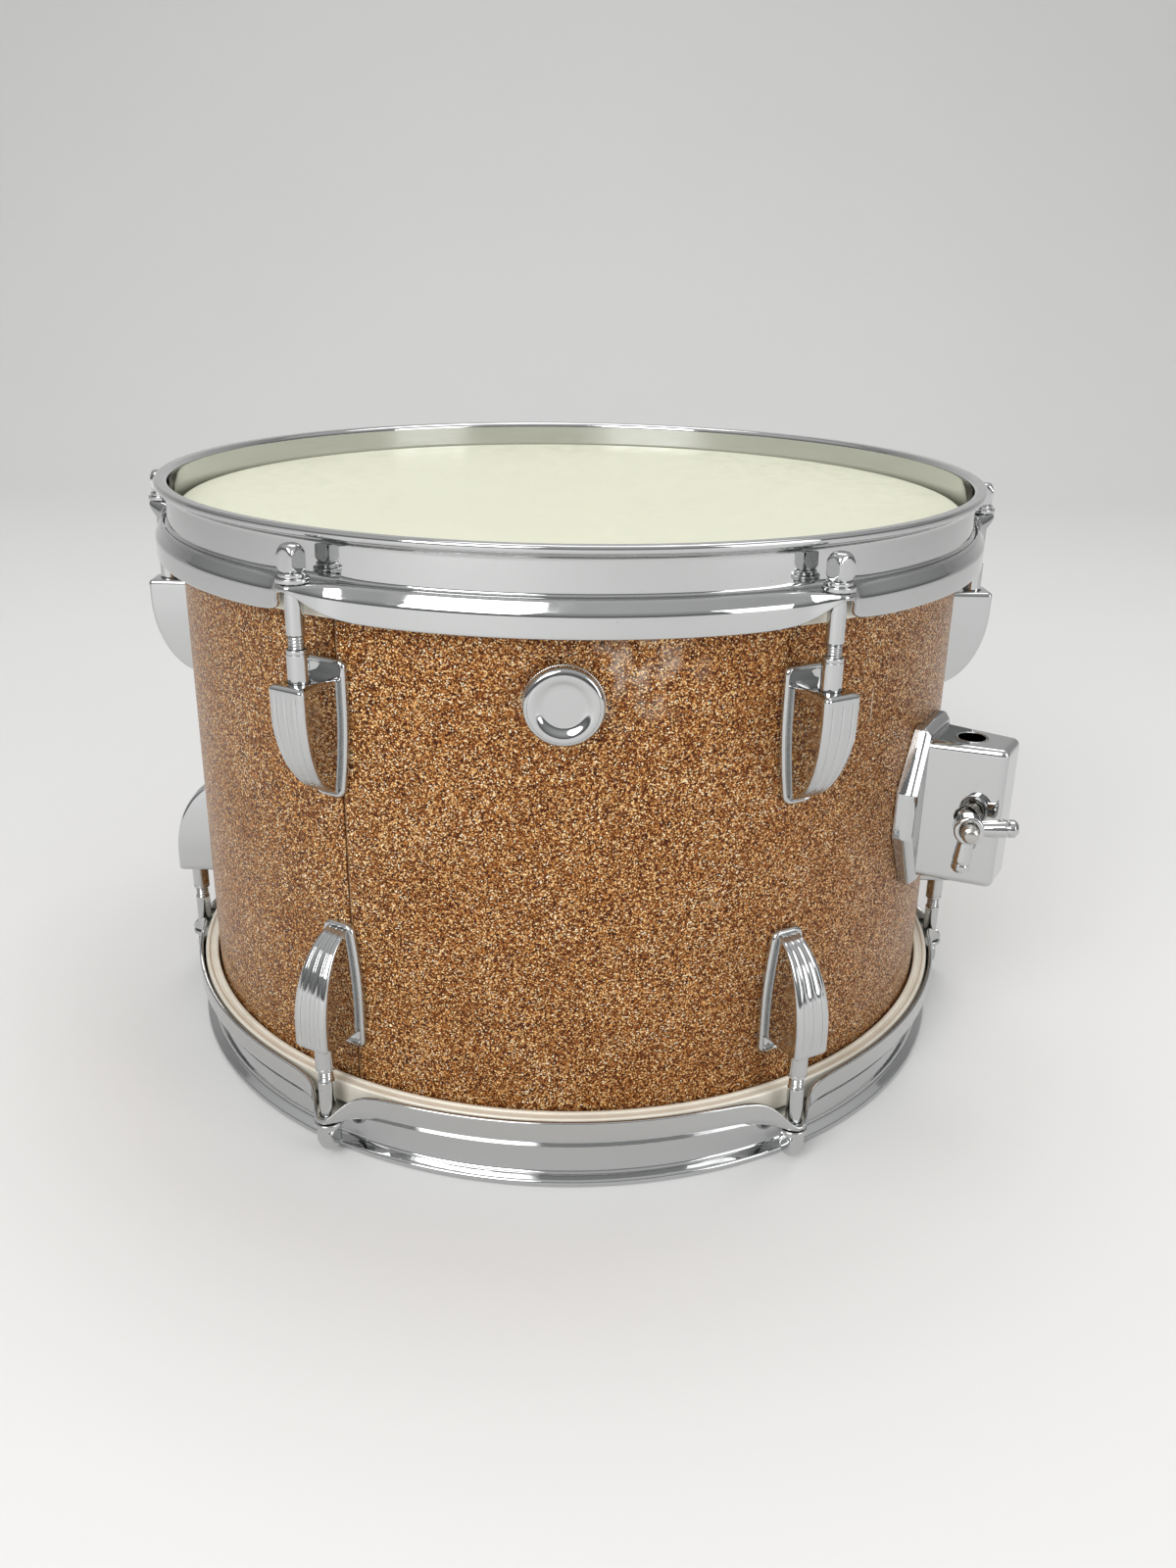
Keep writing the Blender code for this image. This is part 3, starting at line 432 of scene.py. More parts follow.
def carved(mesh: bpy.types.Mesh, tools: list[bpy.types.Mesh]) -> bpy.types.Mesh:
    """A mesh with other meshes cut out of it.

    Args:
        mesh: The mesh to cut.
        tools: The closed meshes that are taken away.

    Returns:
        A new mesh.
    """
    collection = bpy.context.scene.collection
    blank = bpy.data.objects.new("blank", mesh)
    collection.objects.link(blank)
    cutters = []
    for tool in tools:
        cutter = bpy.data.objects.new("cutter", tool)
        collection.objects.link(cutter)
        cutters.append(cutter)
        cut = blank.modifiers.new("cut", "BOOLEAN")
        cut.operation, cut.solver, cut.object = "DIFFERENCE", "EXACT", cutter
    bpy.context.view_layer.update()
    evaluated = blank.evaluated_get(bpy.context.evaluated_depsgraph_get())
    result = bpy.data.meshes.new_from_object(evaluated)
    for item in [blank, *cutters]:
        bpy.data.objects.remove(item, do_unlink=True)
    return cleaned(result)


def drill(radius: float, start: float, end: float, place: Matrix,
          steps: int = 40) -> bpy.types.Mesh:
    """A plain round bar along +Z of a place, to cut a hole with.

    Args:
        radius: The hole's radius.
        start: Where the bar starts along the axis.
        end: Where it ends.
        place: The hole's place, +Z along its axis.
        steps: Steps of a full turn.

    Returns:
        The bar's mesh.
    """
    corners = [(across / MM, along / MM, 0.0) for across, along in
               ((0.0, start), (radius, start), (radius, end), (0.0, end))]
    return to_mesh("drill", turned_corners(corners, steps, 1).placed(place))


def merged(first: bpy.types.Mesh, *others: bpy.types.Mesh) -> bpy.types.Mesh:
    """Several meshes as one.

    Args:
        first: The mesh that takes in the others.
        others: The other meshes.

    Returns:
        The first mesh.
    """
    shape = bmesh.new()
    for mesh in (first, *others):
        shape.from_mesh(mesh)
    shape.to_mesh(first)
    shape.free()
    first.set_sharp_from_angle(angle=math.radians(SHARP_ANGLE))
    return first


@dataclass
class Workshop:
    """Turns meshes into pieces of the drum and keeps count of them."""

    finishes: "Finishes"
    pieces: list[str] = field(default_factory=list)

    def add(self, name: str, mesh: bpy.types.Mesh, slot: Slot, body: str, *nodes: str,
            place: Matrix | None = None) -> bpy.types.Object:
        """Adds a finished piece.

        Args:
            name: The piece's name.
            mesh: Its mesh, copied first where a place is given.
            slot: The finish it takes.
            body: The CAD body that it rides on.
            nodes: The CAD nodes that it stands for.
            place: Where the mesh goes, baked into its points.

        Returns:
            The piece's object, at the origin.
        """
        if place is not None:
            mesh = mesh.copy()
            mesh.transform(place)
        mesh.name = name
        mesh.materials.clear()
        mesh.materials.append(self.finishes.of(slot))
        piece = bpy.data.objects.new(name, mesh)
        bpy.context.scene.collection.objects.link(piece)
        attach(piece, body)
        if nodes:
            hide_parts(*nodes)
        self.pieces.append(name)
        LOG.info("%s: %d faces on %s", name, len(mesh.polygons), body)
        return piece

    def dress(self, node: str, slot: Slot) -> None:
        """Gives a CAD node that stays a full finish."""
        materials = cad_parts[node].data.materials
        materials.clear()
        materials.append(self.finishes.of(slot))
        LOG.info("%s: kept, in %s", node, slot.value)


class Graph:
    """A material's node graph, with short calls for the patterns the finishes use."""

    def __init__(self, name: str) -> None:
        """Starts a material with a Principled shader and Object coordinates."""
        self.material = bpy.data.materials.new(name)
        self.material.use_nodes = True
        self.tree = self.material.node_tree
        self.shader = self.tree.nodes["Principled BSDF"]
        self.place = self.add("ShaderNodeTexCoord").outputs["Object"]

    def add(self, kind: str, **settings: object) -> bpy.types.Node:
        """Adds a node and sets its properties.

        Args:
            kind: The node's type.
            settings: Its properties by name.

        Returns:
            The node.
        """
        node = self.tree.nodes.new(kind)
        for key, value in settings.items():
            setattr(node, key, value)
        return node

    def join(self, node: bpy.types.Node, **inputs: object) -> bpy.types.Node:
        """Sets or links a node's inputs.

        Args:
            node: The node.
            inputs: Values or sockets by the input's name, with _ for a space, or by _number.

        Returns:
            The node.
        """
        for key, value in inputs.items():
            socket = node.inputs[int(key[1:]) if key[1:].isdigit() else key.replace("_", " ")]
            if isinstance(value, bpy.types.NodeSocket):
                self.tree.links.new(value, socket)
            else:
                socket.default_value = value
        return node

    def finish(self, **inputs: object) -> bpy.types.Material:
        """Sets or links the shader's inputs and returns the material."""
        self.join(self.shader, **inputs)
        return self.material

    def math(self, operation: str, first: object, second: object = 0.0) -> bpy.types.NodeSocket:
        """A Math node's value."""
        node = self.add("ShaderNodeMath", operation=operation)
        return self.join(node, _0=first, _1=second).outputs[0]

    def vector(self, operation: str, first: object, second: object) -> bpy.types.NodeSocket:
        """A Vector Math node's vector."""
        node = self.add("ShaderNodeVectorMath", operation=operation)
        return self.join(node, _0=first, _1=second).outputs[0]

    def scaled(self, vector: object, scale: object) -> bpy.types.NodeSocket:
        """A vector times a number."""
        node = self.add("ShaderNodeVectorMath", operation="SCALE")
        return self.join(node, _0=vector, Scale=scale).outputs[0]

    def noise(self, scale: float, detail: float = 3.0, where: object = None,
              rough: float = 0.5) -> bpy.types.NodeSocket:
        """Noise from 0 to 1 with a number of bumps to the metre."""
        return self.join(self.add("ShaderNodeTexNoise"), Vector=where or self.place,
                         Scale=scale, Detail=detail, Roughness=rough).outputs[0]

    def cells(self, scale: float, where: object = None) -> bpy.types.Node:
        """A Voronoi node with a number of cells to the metre."""
        node = self.add("ShaderNodeTexVoronoi")
        return self.join(node, Vector=where or self.place, Scale=scale)

    def ramp(self, value: object, stops: list[tuple[float, tuple[float, float, float]]],
             steps: bool = False) -> bpy.types.NodeSocket:
        """A Color Ramp's colour.

        Args:
            value: What it reads.
            stops: Places from 0 to 1 with their colours.
            steps: Whether it jumps from colour to colour.

        Returns:
            The colour socket.
        """
        node = self.add("ShaderNodeValToRGB")
        band = node.color_ramp
        band.interpolation = "CONSTANT" if steps else "LINEAR"
        while len(band.elements) < len(stops):
            band.elements.new(1.0)
        for element, (position, colour) in zip(band.elements, stops):
            element.position, element.color = position, (*colour, 1.0)
        return self.join(node, Fac=value).outputs[0]

    def fade(self, value: object, low: float, high: float, start: float = 0.0,
             end: float = 1.0) -> bpy.types.NodeSocket:
        """A value carried from the range low..high to start..end, and held there.

        Args:
            value: The socket or number to carry.
            low: The range's low end.
            high: The range's high end.
            start: The result at the low end.
            end: The result at the high end.

        Returns:
            The result's socket.
        """
        node = self.add("ShaderNodeMapRange", interpolation_type="SMOOTHSTEP")
        return self.join(node, Value=value, From_Min=low, From_Max=high,
                         To_Min=start, To_Max=end).outputs[0]

    def mix(self, share: object, first: object, second: object) -> bpy.types.NodeSocket:
        """One colour carried towards another."""
        node = self.add("ShaderNodeMix", data_type="RGBA")
        return self.join(node, _0=share, _6=first, _7=second).outputs[2]

    def bump(self, height: object, strength: float, distance: float) -> bpy.types.NodeSocket:
        """A Bump node's normal."""
        node = self.add("ShaderNodeBump")
        return self.join(node, Height=height, Strength=strength, Distance=distance).outputs[0]

    def around(self, across: float, along: float) -> bpy.types.NodeSocket:
        """Coordinates that run round the drum.

        Args:
            across: What the azimuth is multiplied by.
            along: What the radius and the height are multiplied by.

        Returns:
            The vector of azimuth, radius and height.
        """
        split = self.join(self.add("ShaderNodeSeparateXYZ"), Vector=self.place)
        x, y, z = split.outputs
        angle = self.math("ARCTAN2", x, y)
        square = self.math("ADD", self.math("MULTIPLY", x, x), self.math("MULTIPLY", y, y))
        radius = self.math("SQRT", square)
        join = self.add("ShaderNodeCombineXYZ")
        return self.join(join, X=self.math("MULTIPLY", angle, across),
                         Y=self.math("MULTIPLY", radius, along),
                         Z=self.math("MULTIPLY", z, along)).outputs[0]

    def near(self, centre: tuple[float, float, float], radius: float) -> bpy.types.NodeSocket:
        """A value that is 1 at a point and falls to 0 at a radius from it.

        Args:
            centre: The point, in the drum's frame.
            radius: Where the value reaches 0.

        Returns:
            The value's socket.
        """
        node = self.add("ShaderNodeVectorMath", operation="DISTANCE")
        away = self.join(node, _0=self.place, _1=centre).outputs["Value"]
        return self.fade(away, 0.0, radius, 1.0, 0.0)


@dataclass(frozen=True)
class Chrome:
    """Bright plating with fine hairlines, small pits and faint waves of the metal below."""

    tone: tuple[float, float, float] = (0.55, 0.556, 0.554)
    pit_tone: tuple[float, float, float] = (0.16, 0.14, 0.11)
    pits: float = 0.35
    hairline_roughness: float = 0.07

    def build(self) -> bpy.types.Material:
        """Builds the finish.

        Returns:
            Its material.
        """
        graph = Graph("bright_plating")
        hazy = graph.fade(graph.noise(90.0, 4.0), 0.45, 0.75, 0.035, 0.13)
        lines = graph.noise(1.0, 2.0, graph.around(14.0, 2600.0))
        hairs = graph.fade(lines, 0.62, 0.72)
        spots = graph.fade(graph.cells(420.0).outputs["Distance"], 0.0, 0.16, 1.0, 0.0)
        patchy = graph.fade(graph.noise(150.0, 3.0), 0.56, 0.66)
        pit = graph.math("MULTIPLY", graph.math("MULTIPLY", spots, patchy), self.pits)
        fine = graph.math("MULTIPLY", hairs, self.hairline_roughness)
        rough = graph.math("ADD", graph.math("ADD", hazy, fine), pit)
        colour = graph.mix(pit, (*self.tone, 1.0), (*self.pit_tone, 1.0))
        waves = graph.bump(graph.noise(130.0, 2.0), 0.05, 0.0006)
        return graph.finish(Base_Color=colour, Metallic=1.0, Roughness=rough, Normal=waves)


@dataclass(frozen=True)
class Sparkle:
    """Plastic wrap: flakes of many tones under a clear gloss, each tipped its own way."""

    flakes_to_the_metre: float = 2500.0
    tilt: float = 0.85
    # Colour of the painted shade at the wrap's top and bottom ends, where they run into the gap
    # inside the flesh hoops.
    painted_end_shade_tone: tuple[float, float, float] = (0.10, 0.05, 0.025)
    wear_tone: tuple[float, float, float] = (0.86, 0.80, 0.70)
    haze_spot: tuple[float, float, float] = (0.022, -0.151, 0.190)
    haze_radius: float = 0.030
    scratch_spot: tuple[float, float, float] = (0.108, -0.107, 0.163)
    scratch_radius: float = 0.034

    def build(self) -> bpy.types.Material:
        """Builds the finish.

        Returns:
            Its material.
        """
        graph = Graph("copper_sparkle")
        wander = graph.scaled(graph.noise(900.0, 2.0), 0.0004)
        flakes = graph.cells(self.flakes_to_the_metre, graph.vector("ADD", graph.place, wander))
        split = graph.join(graph.add("ShaderNodeSeparateColor"), Color=flakes.outputs["Color"])
        clouds = graph.math("SUBTRACT", graph.noise(45.0, 3.0), 0.5)
        drift = graph.math("MULTIPLY", clouds, 0.14)
        tone = graph.math("ADD", split.outputs["Red"], drift)
        colour = graph.ramp(tone, [
            (0.00, (0.040, 0.008, 0.002)), (0.20, (0.100, 0.024, 0.004)),
            (0.40, (0.225, 0.066, 0.011)), (0.60, (0.410, 0.160, 0.038)),
            (0.76, (0.700, 0.365, 0.120)), (0.88, (0.980, 0.680, 0.330)),
            (0.97, (1.000, 0.920, 0.700))], steps=True)
        split_place = graph.join(graph.add("ShaderNodeSeparateXYZ"), Vector=graph.place)
        haze = graph.math("MULTIPLY", graph.near(self.haze_spot, self.haze_radius),
                          graph.fade(graph.noise(160.0, 4.0), 0.40, 0.75))
        strokes = graph.join(graph.add("ShaderNodeMapping"), Vector=graph.place,
                             Rotation=(0.5, 0.35, 0.2), Scale=(900.0, 900.0, 42.0))
        thin = graph.fade(graph.noise(1.0, 2.0, strokes.outputs[0]), 0.66, 0.72)
        near_scratch = graph.near(self.scratch_spot, self.scratch_radius)
        scratch = graph.math("MULTIPLY", near_scratch, thin)
        wear = graph.math("MAXIMUM", graph.math("MULTIPLY", haze, 0.45),
                          graph.math("MULTIPLY", scratch, 0.55))
        # Painted shade: the wrap darkens towards its top and bottom ends, inside the gap at the
        # flesh hoops.
        level = graph.math("SUBTRACT", split_place.outputs[2], SIZES.height / 2)
        edge = graph.math("ABSOLUTE", level)
        painted_end_shade = graph.fade(edge, 0.0960, 0.0995, 0.0, 0.35)
        colour = graph.mix(painted_end_shade, colour, (*self.painted_end_shade_tone, 1.0))
        colour = graph.mix(wear, colour, (*self.wear_tone, 1.0))
        spread = graph.vector("SUBTRACT", flakes.outputs["Color"], (0.5, 0.5, 0.5))
        tip = graph.scaled(spread, self.tilt)
        normal = graph.add("ShaderNodeNewGeometry").outputs["Normal"]
        tipped = graph.vector("NORMALIZE", graph.vector("ADD", normal, tip), (0.0, 0.0, 0.0))
        return graph.finish(Base_Color=colour, Metallic=0.35, Roughness=0.40, Normal=tipped,
                            Specular_IOR_Level=0.15, Coat_Weight=0.22,
                            Coat_Roughness=0.08, Coat_IOR=1.35)


@dataclass(frozen=True)
class CoatedFilm:
    """The batter head: a cream coating with a fine tooth, faint strokes and a duller middle."""

    tone: tuple[float, float, float] = (0.755, 0.76, 0.595)
    cloud_tone: tuple[float, float, float] = (0.725, 0.725, 0.555)
    mark_tone: tuple[float, float, float] = (0.50, 0.47, 0.34)
    playing_radius: float = 0.11

    def build(self) -> bpy.types.Material:
        """Builds the finish.

        Returns:
            Its material.
        """
        graph = Graph("cream_coating")
        clouds = graph.fade(graph.noise(26.0, 5.0), 0.35, 0.75)
        colour = graph.mix(graph.math("MULTIPLY", clouds, 0.5), (*self.tone, 1.0),
                           (*self.cloud_tone, 1.0))
        marks = graph.join(graph.add("ShaderNodeMapping"), Vector=graph.place,
                           Rotation=(0.0, 0.0, 0.6), Scale=(60.0, 700.0, 60.0))
        strokes = graph.fade(graph.noise(1.0, 3.0, marks.outputs[0]), 0.66, 0.76)
        played = graph.near((0.01, 0.015, SIZES.film_top), self.playing_radius)
        mark = graph.math("MULTIPLY", graph.math("MULTIPLY", strokes, played), 0.30)
        specks = graph.fade(graph.cells(240.0).outputs["Distance"], 0.0, 0.09, 1.0, 0.0)
        patches = graph.fade(graph.noise(70.0, 2.0), 0.60, 0.68, 0.0, 0.30)
        speck = graph.math("MULTIPLY", specks, patches)
        worn = graph.math("MAXIMUM", mark, speck)
        colour = graph.mix(worn, colour, (*self.mark_tone, 1.0))
        rough = graph.fade(graph.noise(180.0, 3.0), 0.3, 0.7, 0.36, 0.52)
        tooth = graph.bump(graph.noise(3200.0, 2.0), 0.30, 0.00006)
        return graph.finish(Base_Color=colour, Roughness=rough, Normal=tooth)


@dataclass(frozen=True)
class ClearFilm:
    """The resonant head: a clear film with a milky cast and fine scuffs."""

    def build(self) -> bpy.types.Material:
        """Builds the finish.

        Returns:
            Its material.
        """
        graph = Graph("clear_film")
        scuffs = graph.fade(graph.noise(240.0, 4.0), 0.52, 0.75, 0.08, 0.34)
        colour = graph.mix(graph.noise(40.0, 3.0), (0.93, 0.94, 0.93, 1.0), (0.86, 0.87, 0.85, 1.0))
        return graph.finish(Base_Color=colour, Roughness=scuffs,
                            Transmission_Weight=0.82, IOR=1.2)


@dataclass(frozen=True)
class SatinMetal:
    """Bare metal with the fine marks that its tool or its wear has left round it."""

    name: str
    tone: tuple[float, float, float]
    roughness: float
    stain: tuple[float, float, float]
    metallic: float = 1.0
    spread: float = 0.16

    def build(self) -> bpy.types.Material:
        """Builds the finish.

        Returns:
            Its material.
        """
        graph = Graph(self.name)
        grain = graph.noise(1.0, 3.0, graph.around(26.0, 3800.0))
        dull = graph.fade(graph.noise(60.0, 4.0), 0.4, 0.72)
        colour = graph.mix(graph.math("MULTIPLY", dull, 0.7), (*self.tone, 1.0),
                           (*self.stain, 1.0))
        unevenness = graph.math("MULTIPLY", grain, self.spread)
        rough = graph.math("ADD", unevenness, self.roughness - self.spread / 2)
        fine = graph.bump(grain, 0.22, 0.00006)
        return graph.finish(Base_Color=colour, Metallic=self.metallic, Roughness=rough, Normal=fine)


@dataclass(frozen=True)
class Felt:
    """Pressed wool: matted fibres, uneven in tone."""

    def build(self) -> bpy.types.Material:
        """Builds the finish.

        Returns:
            Its material.
        """
        graph = Graph("pressed_felt")
        fibres = graph.noise(1500.0, 5.0, rough=0.7)
        colour = graph.mix(fibres, (0.52, 0.50, 0.43, 1.0), (0.80, 0.78, 0.70, 1.0))
        matted = graph.bump(fibres, 0.8, 0.0004)
        return graph.finish(Base_Color=colour, Roughness=0.95, Sheen_Weight=0.4, Normal=matted)


@dataclass(frozen=True)
class PlyShell:
    """Maple ply with its grain running round the shell, under a thin sealer."""

    def build(self) -> bpy.types.Material:
        """Builds the finish.

        Returns:
            Its material.
        """
        graph = Graph("maple_ply")
        grain = graph.noise(1.0, 5.0, graph.around(3.5, 420.0), 0.6)
        pores = graph.fade(graph.noise(1.0, 2.0, graph.around(40.0, 2800.0)), 0.60, 0.72)
        colour = graph.ramp(grain, [(0.30, (0.33, 0.17, 0.075)), (0.52, (0.48, 0.28, 0.135)),
                                    (0.72, (0.60, 0.39, 0.21))])
        colour = graph.mix(graph.math("MULTIPLY", pores, 0.5), colour, (0.20, 0.10, 0.05, 1.0))
        raised = graph.bump(grain, 0.25, 0.0003)
        return graph.finish(Base_Color=colour, Roughness=0.48, Normal=raised)


class Finishes:
    """The drum's finishes, each built once."""

    def __init__(self) -> None:
        """Builds every finish."""
        aluminium = SatinMetal("satin_aluminium", tone=(0.92, 0.88, 0.77), roughness=0.50,
                               stain=(0.80, 0.75, 0.62), metallic=0.25)
        steel = SatinMetal("dull_steel", tone=(0.50, 0.49, 0.46), roughness=0.26,
                           stain=(0.34, 0.31, 0.26))
        self.materials = {
            Slot.WRAP: Sparkle().build(),
            Slot.COATED: CoatedFilm().build(),
            Slot.CLEAR: ClearFilm().build(),
            Slot.ALUMINIUM: aluminium.build(),
            Slot.CHROME: Chrome().build(),
            Slot.STEEL: steel.build(),
            Slot.FELT: Felt().build(),
            Slot.WOOD: PlyShell().build(),
        }

    def of(self, slot: Slot) -> bpy.types.Material:
        """The finish of a slot."""
        return self.materials[slot]


@dataclass
class Shell:
    """The wrap round the shell, with its seam; the wooden shell itself is the CAD's."""

    end_inset: float = 3.2 * MM
    rounding: float = 0.25 * MM
    seam_azimuth: float = -28.5
    seam_width: float = 1.1 * MM
    tuck_depth: float = 0.18 * MM
    tuck_degrees: float = 0.16
    face_depth: float = 0.3 * MM
    bushing_radius: float = 5.0 * MM
    drill_start: float = 140.0 * MM
    drill_end: float = 160.0 * MM
    steps: int = 360

    def wrap(self) -> Surface:
        """The sheet's section carried round the shell from one side of the seam to the other.

        Point (r, z) of the section goes to azimuth s + g + (360 - 2 g) v, with s the seam's
        azimuth and g half its width. The outer face dips at the seam by the tuck's depth.

        Returns:
            The closed sheet.
        """
        outer = SIZES.wrap_radius
        inner = outer - SIZES.wrap_thickness
        top = SIZES.height / 2 + SIZES.shell_depth / 2 - self.end_inset
        bottom = SIZES.height - top
        corners = np.array([(outer, top), (outer, bottom), (inner, bottom), (inner, top)])
        section = rounded(corners, np.full(len(corners), self.rounding), 3)
        half = math.degrees(self.seam_width / 2 / outer)
        edge = np.array([0.0, 0.06, 0.16, 0.3])
        azimuth = np.concatenate([edge, np.linspace(1.0, 359.0, self.steps), 360.0 - edge[::-1]])
        azimuth = self.seam_azimuth + half + azimuth * (360.0 - 2 * half) / 360.0
        angle = np.radians(azimuth)[:, None]
        tuck = np.minimum(azimuth - azimuth[0], azimuth[-1] - azimuth)[:, None]
        on_face = section[:, 0] > outer - self.face_depth
        tucked = self.tuck_depth * (1 - smooth_step(tuck / self.tuck_degrees)) * on_face
        radius = section[:, 0] - tucked
        height = section[:, 1] + 0 * angle
        grid = np.stack([radius * np.sin(angle), -radius * np.cos(angle), height], -1)
        return capped(grid, len(section) // 2 - 1)

    def build(self, shop: Workshop) -> None:
        """Adds the wrap and dresses the wooden shell.

        Args:
            shop: The workshop that takes the pieces.
        """
        hole = drill(self.bushing_radius, self.drill_start, self.drill_end,
                     outwards(SIZES.muffler_height))
        sheet = carved(to_mesh("wrap", self.wrap()), [hole])
        shop.add("sparkle_sheet", sheet, Slot.WRAP, "drum", "wrap")
        shop.dress("shell", Slot.WOOD)


@dataclass
class Head:
    """One side's film and the ring that holds it, with sizes in millimetres."""

    side: Side
    skirt: float = 8.8
    shoulder: float = 2.7
    inner_shoulder: float = 2.4
    ring_width: float = 5.3
    ring_height: float = 9.2
    groove: float = 0.5
    steps: int = 240

    def film(self) -> Surface:
        """The film's flat, its rounded shoulder and its skirt, turned.

        Returns:
            The closed film, at its height on the drum.
        """
        top, thick = SIZES.film_top / MM, SIZES.film / MM
        outer = (SIZES.wrap_radius + SIZES.clearance) / MM + thick
        hem = top - self.skirt
        return turned_corners([
            (0.0, top, 0.0), (outer, top, self.shoulder), (outer, hem, 0.1),
            (outer - thick, hem, 0.1), (outer - thick, top - thick, self.inner_shoulder),
            (0.0, top - thick, 0.0)], self.steps, 8)

    def ring(self) -> Surface:
        """The flesh hoop, a ring with rounded corners and a shallow groove in its foot.

        Returns:
            The closed ring, at its height on the drum.
        """
        top = (SIZES.ear_underside - SIZES.clearance) / MM
        inner = (SIZES.wrap_radius + 2 * SIZES.clearance + SIZES.film) / MM
        outer, bottom = inner + self.ring_width, top - self.ring_height
        raised = bottom + self.groove
        return turned_corners([
            (outer, top, 1.6), (outer, bottom, 0.9), (outer - 1.5, bottom, 0.5),
            (outer - 1.9, raised, 0.5), (inner + 1.7, raised, 0.5), (inner + 1.3, bottom, 0.5),
            (inner, bottom, 0.5), (inner, top, 0.4)], self.steps, 4)

    def build(self, shop: Workshop) -> None:
        """Adds the film and the ring.

        Args:
            shop: The workshop that takes the pieces.
        """
        place, name = on_side(self.side), self.side.value
        slot = Slot.COATED if self.side is Side.BATTER else Slot.CLEAR
        film, ring = to_mesh("film", self.film()), to_mesh("ring", self.ring())
        shop.add(f"{name}_film", film, slot, self.side.body, f"{name}_head", place=place)
        shop.add(f"{name}_film_ring", ring, Slot.ALUMINIUM, self.side.body,
                 f"{name}_flesh_hoop", place=place)


@dataclass
class PressedHoop:
    """A pressed hoop: a flared rim, a wall, a ledge, a flange, and six ears for the rods.

    The roundings of the section's corners are in millimetres, from the rim's inner edge
    outwards, down the flange and back.
    """

    ear_reach: float = 6.5 * MM
    ear_fall: float = 2.6
    hole: float = 3.3 * MM
    drill_reach: float = 5 * MM
    lip: float = 4.3 * MM
    lip_turn: float = 0.55
    shoulder_in: float = 2.5 * MM
    shoulder_drop: float = 4.4 * MM
    ear_bevel: float = 0.6 * MM
    ear_edge_drop: float = 0.8 * MM
    inner_drop: float = 1.7 * MM
    inner_step: float = 1.0 * MM
    roundings: tuple[float, ...] = (1.9, 1.3, 1.1, 1.6, 1.9, 2.4, 3.4, 0.7, 0.7, 1.2, 1.0, 2.6)
    fine_degrees: float = 5.0
    fine_steps: int = 25
    coarse_steps: int = 19

    def columns(self) -> tuple[Array, Array]:
        """The azimuths of the hoop's sections in degrees, and how far each has become an ear.

        A section at s along the rods' circle has the share 1 / (1 + (s / reach)^fall).

        Returns:
            The azimuths and the ear shares, once round the drum.
        """
        half = 180.0 / SIZES.lug_count
        fine = np.linspace(0.0, self.fine_degrees, self.fine_steps, endpoint=False)
        coarse = np.linspace(self.fine_degrees, half, self.coarse_steps, endpoint=False)
        right = np.concatenate([fine, coarse])
        offset = np.concatenate([-right[:0:-1], right, [half]])
        along = np.radians(np.abs(offset)) * SIZES.rod_circle
        share = 1.0 / (1.0 + (along / self.ear_reach) ** self.ear_fall)
        azimuth = np.concatenate([offset + ear_azimuth for ear_azimuth in SIZES.lug_azimuths])
        return azimuth, np.tile(share, SIZES.lug_count)

    def sections(self, share: Array) -> Array:
        """The section at each ear share: corners carried from the plain flange to the flat ear.

        Args:
            share: How far each section has become an ear.

        Returns:
            Points (radius, height) as sections x points x 2.
        """
        top, ledge, under = SIZES.height, SIZES.ledge, SIZES.ear_underside
        wall, rim, sheet = SIZES.hoop_wall, SIZES.rim_radius, SIZES.hoop_sheet
        edge = SIZES.flange_radius + (SIZES.ear_radius - SIZES.flange_radius) * share
        drop = (top - SIZES.flange_drop) + (under - top + SIZES.flange_drop) * share
        rest = 1 - share
        inside = edge - sheet
        bevel, fall = self.ear_bevel, self.ear_edge_drop
        points = [
            (wall - sheet, top), (rim, top), (rim, top - self.lip * self.lip_turn),
            (wall, top - self.lip), (wall, ledge),
            (edge - bevel - (self.shoulder_in - bevel) * rest, ledge),
            (edge, ledge - fall - (self.shoulder_drop - fall) * rest), (edge, drop),
            (inside, drop), (inside, under - self.inner_drop * rest),
            (inside - bevel - self.inner_step * rest, under), (wall - sheet, under)]
        corners = np.stack([np.stack([across + 0 * share, up + 0 * share], -1)
                            for across, up in points], 1)
        radii = np.array(self.roundings) * MM
        return rounded(corners, np.tile(radii, (len(share), 1)), 6)

    def mesh(self) -> bpy.types.Mesh:
        """The sections carried round the drum, with the rod holes cut.

        Point (r, z) of the section at azimuth t goes to (r sin t, -r cos t, z).

        Returns:
            The hoop about the drum's axis.
        """
        azimuth, share = self.columns()
        section = self.sections(share)
        radius, height = section[..., 0], section[..., 1]
        angle = np.radians(azimuth)[:, None]
        grid = np.stack([radius * np.sin(angle), -radius * np.cos(angle), height], -1)
        blank = to_mesh("hoop", lattice(grid, close_rows=True))
        ear = at_front(SIZES.rod_circle, SIZES.ledge)
        holes = [drill(self.hole, -self.drill_reach, self.drill_reach, turn(lug) @ ear)
                 for lug in SIZES.lug_azimuths]
        return carved(blank, holes)

    def build(self, shop: Workshop) -> None:
        """Adds both hoops.

        Args:
            shop: The workshop that takes the pieces.
        """
        mesh = self.mesh()
        for side in Side:
            name = side.value
            shop.add(f"{name}_pressed_hoop", mesh, Slot.CHROME, side.body, f"{name}_hoop",
                     place=on_side(side))


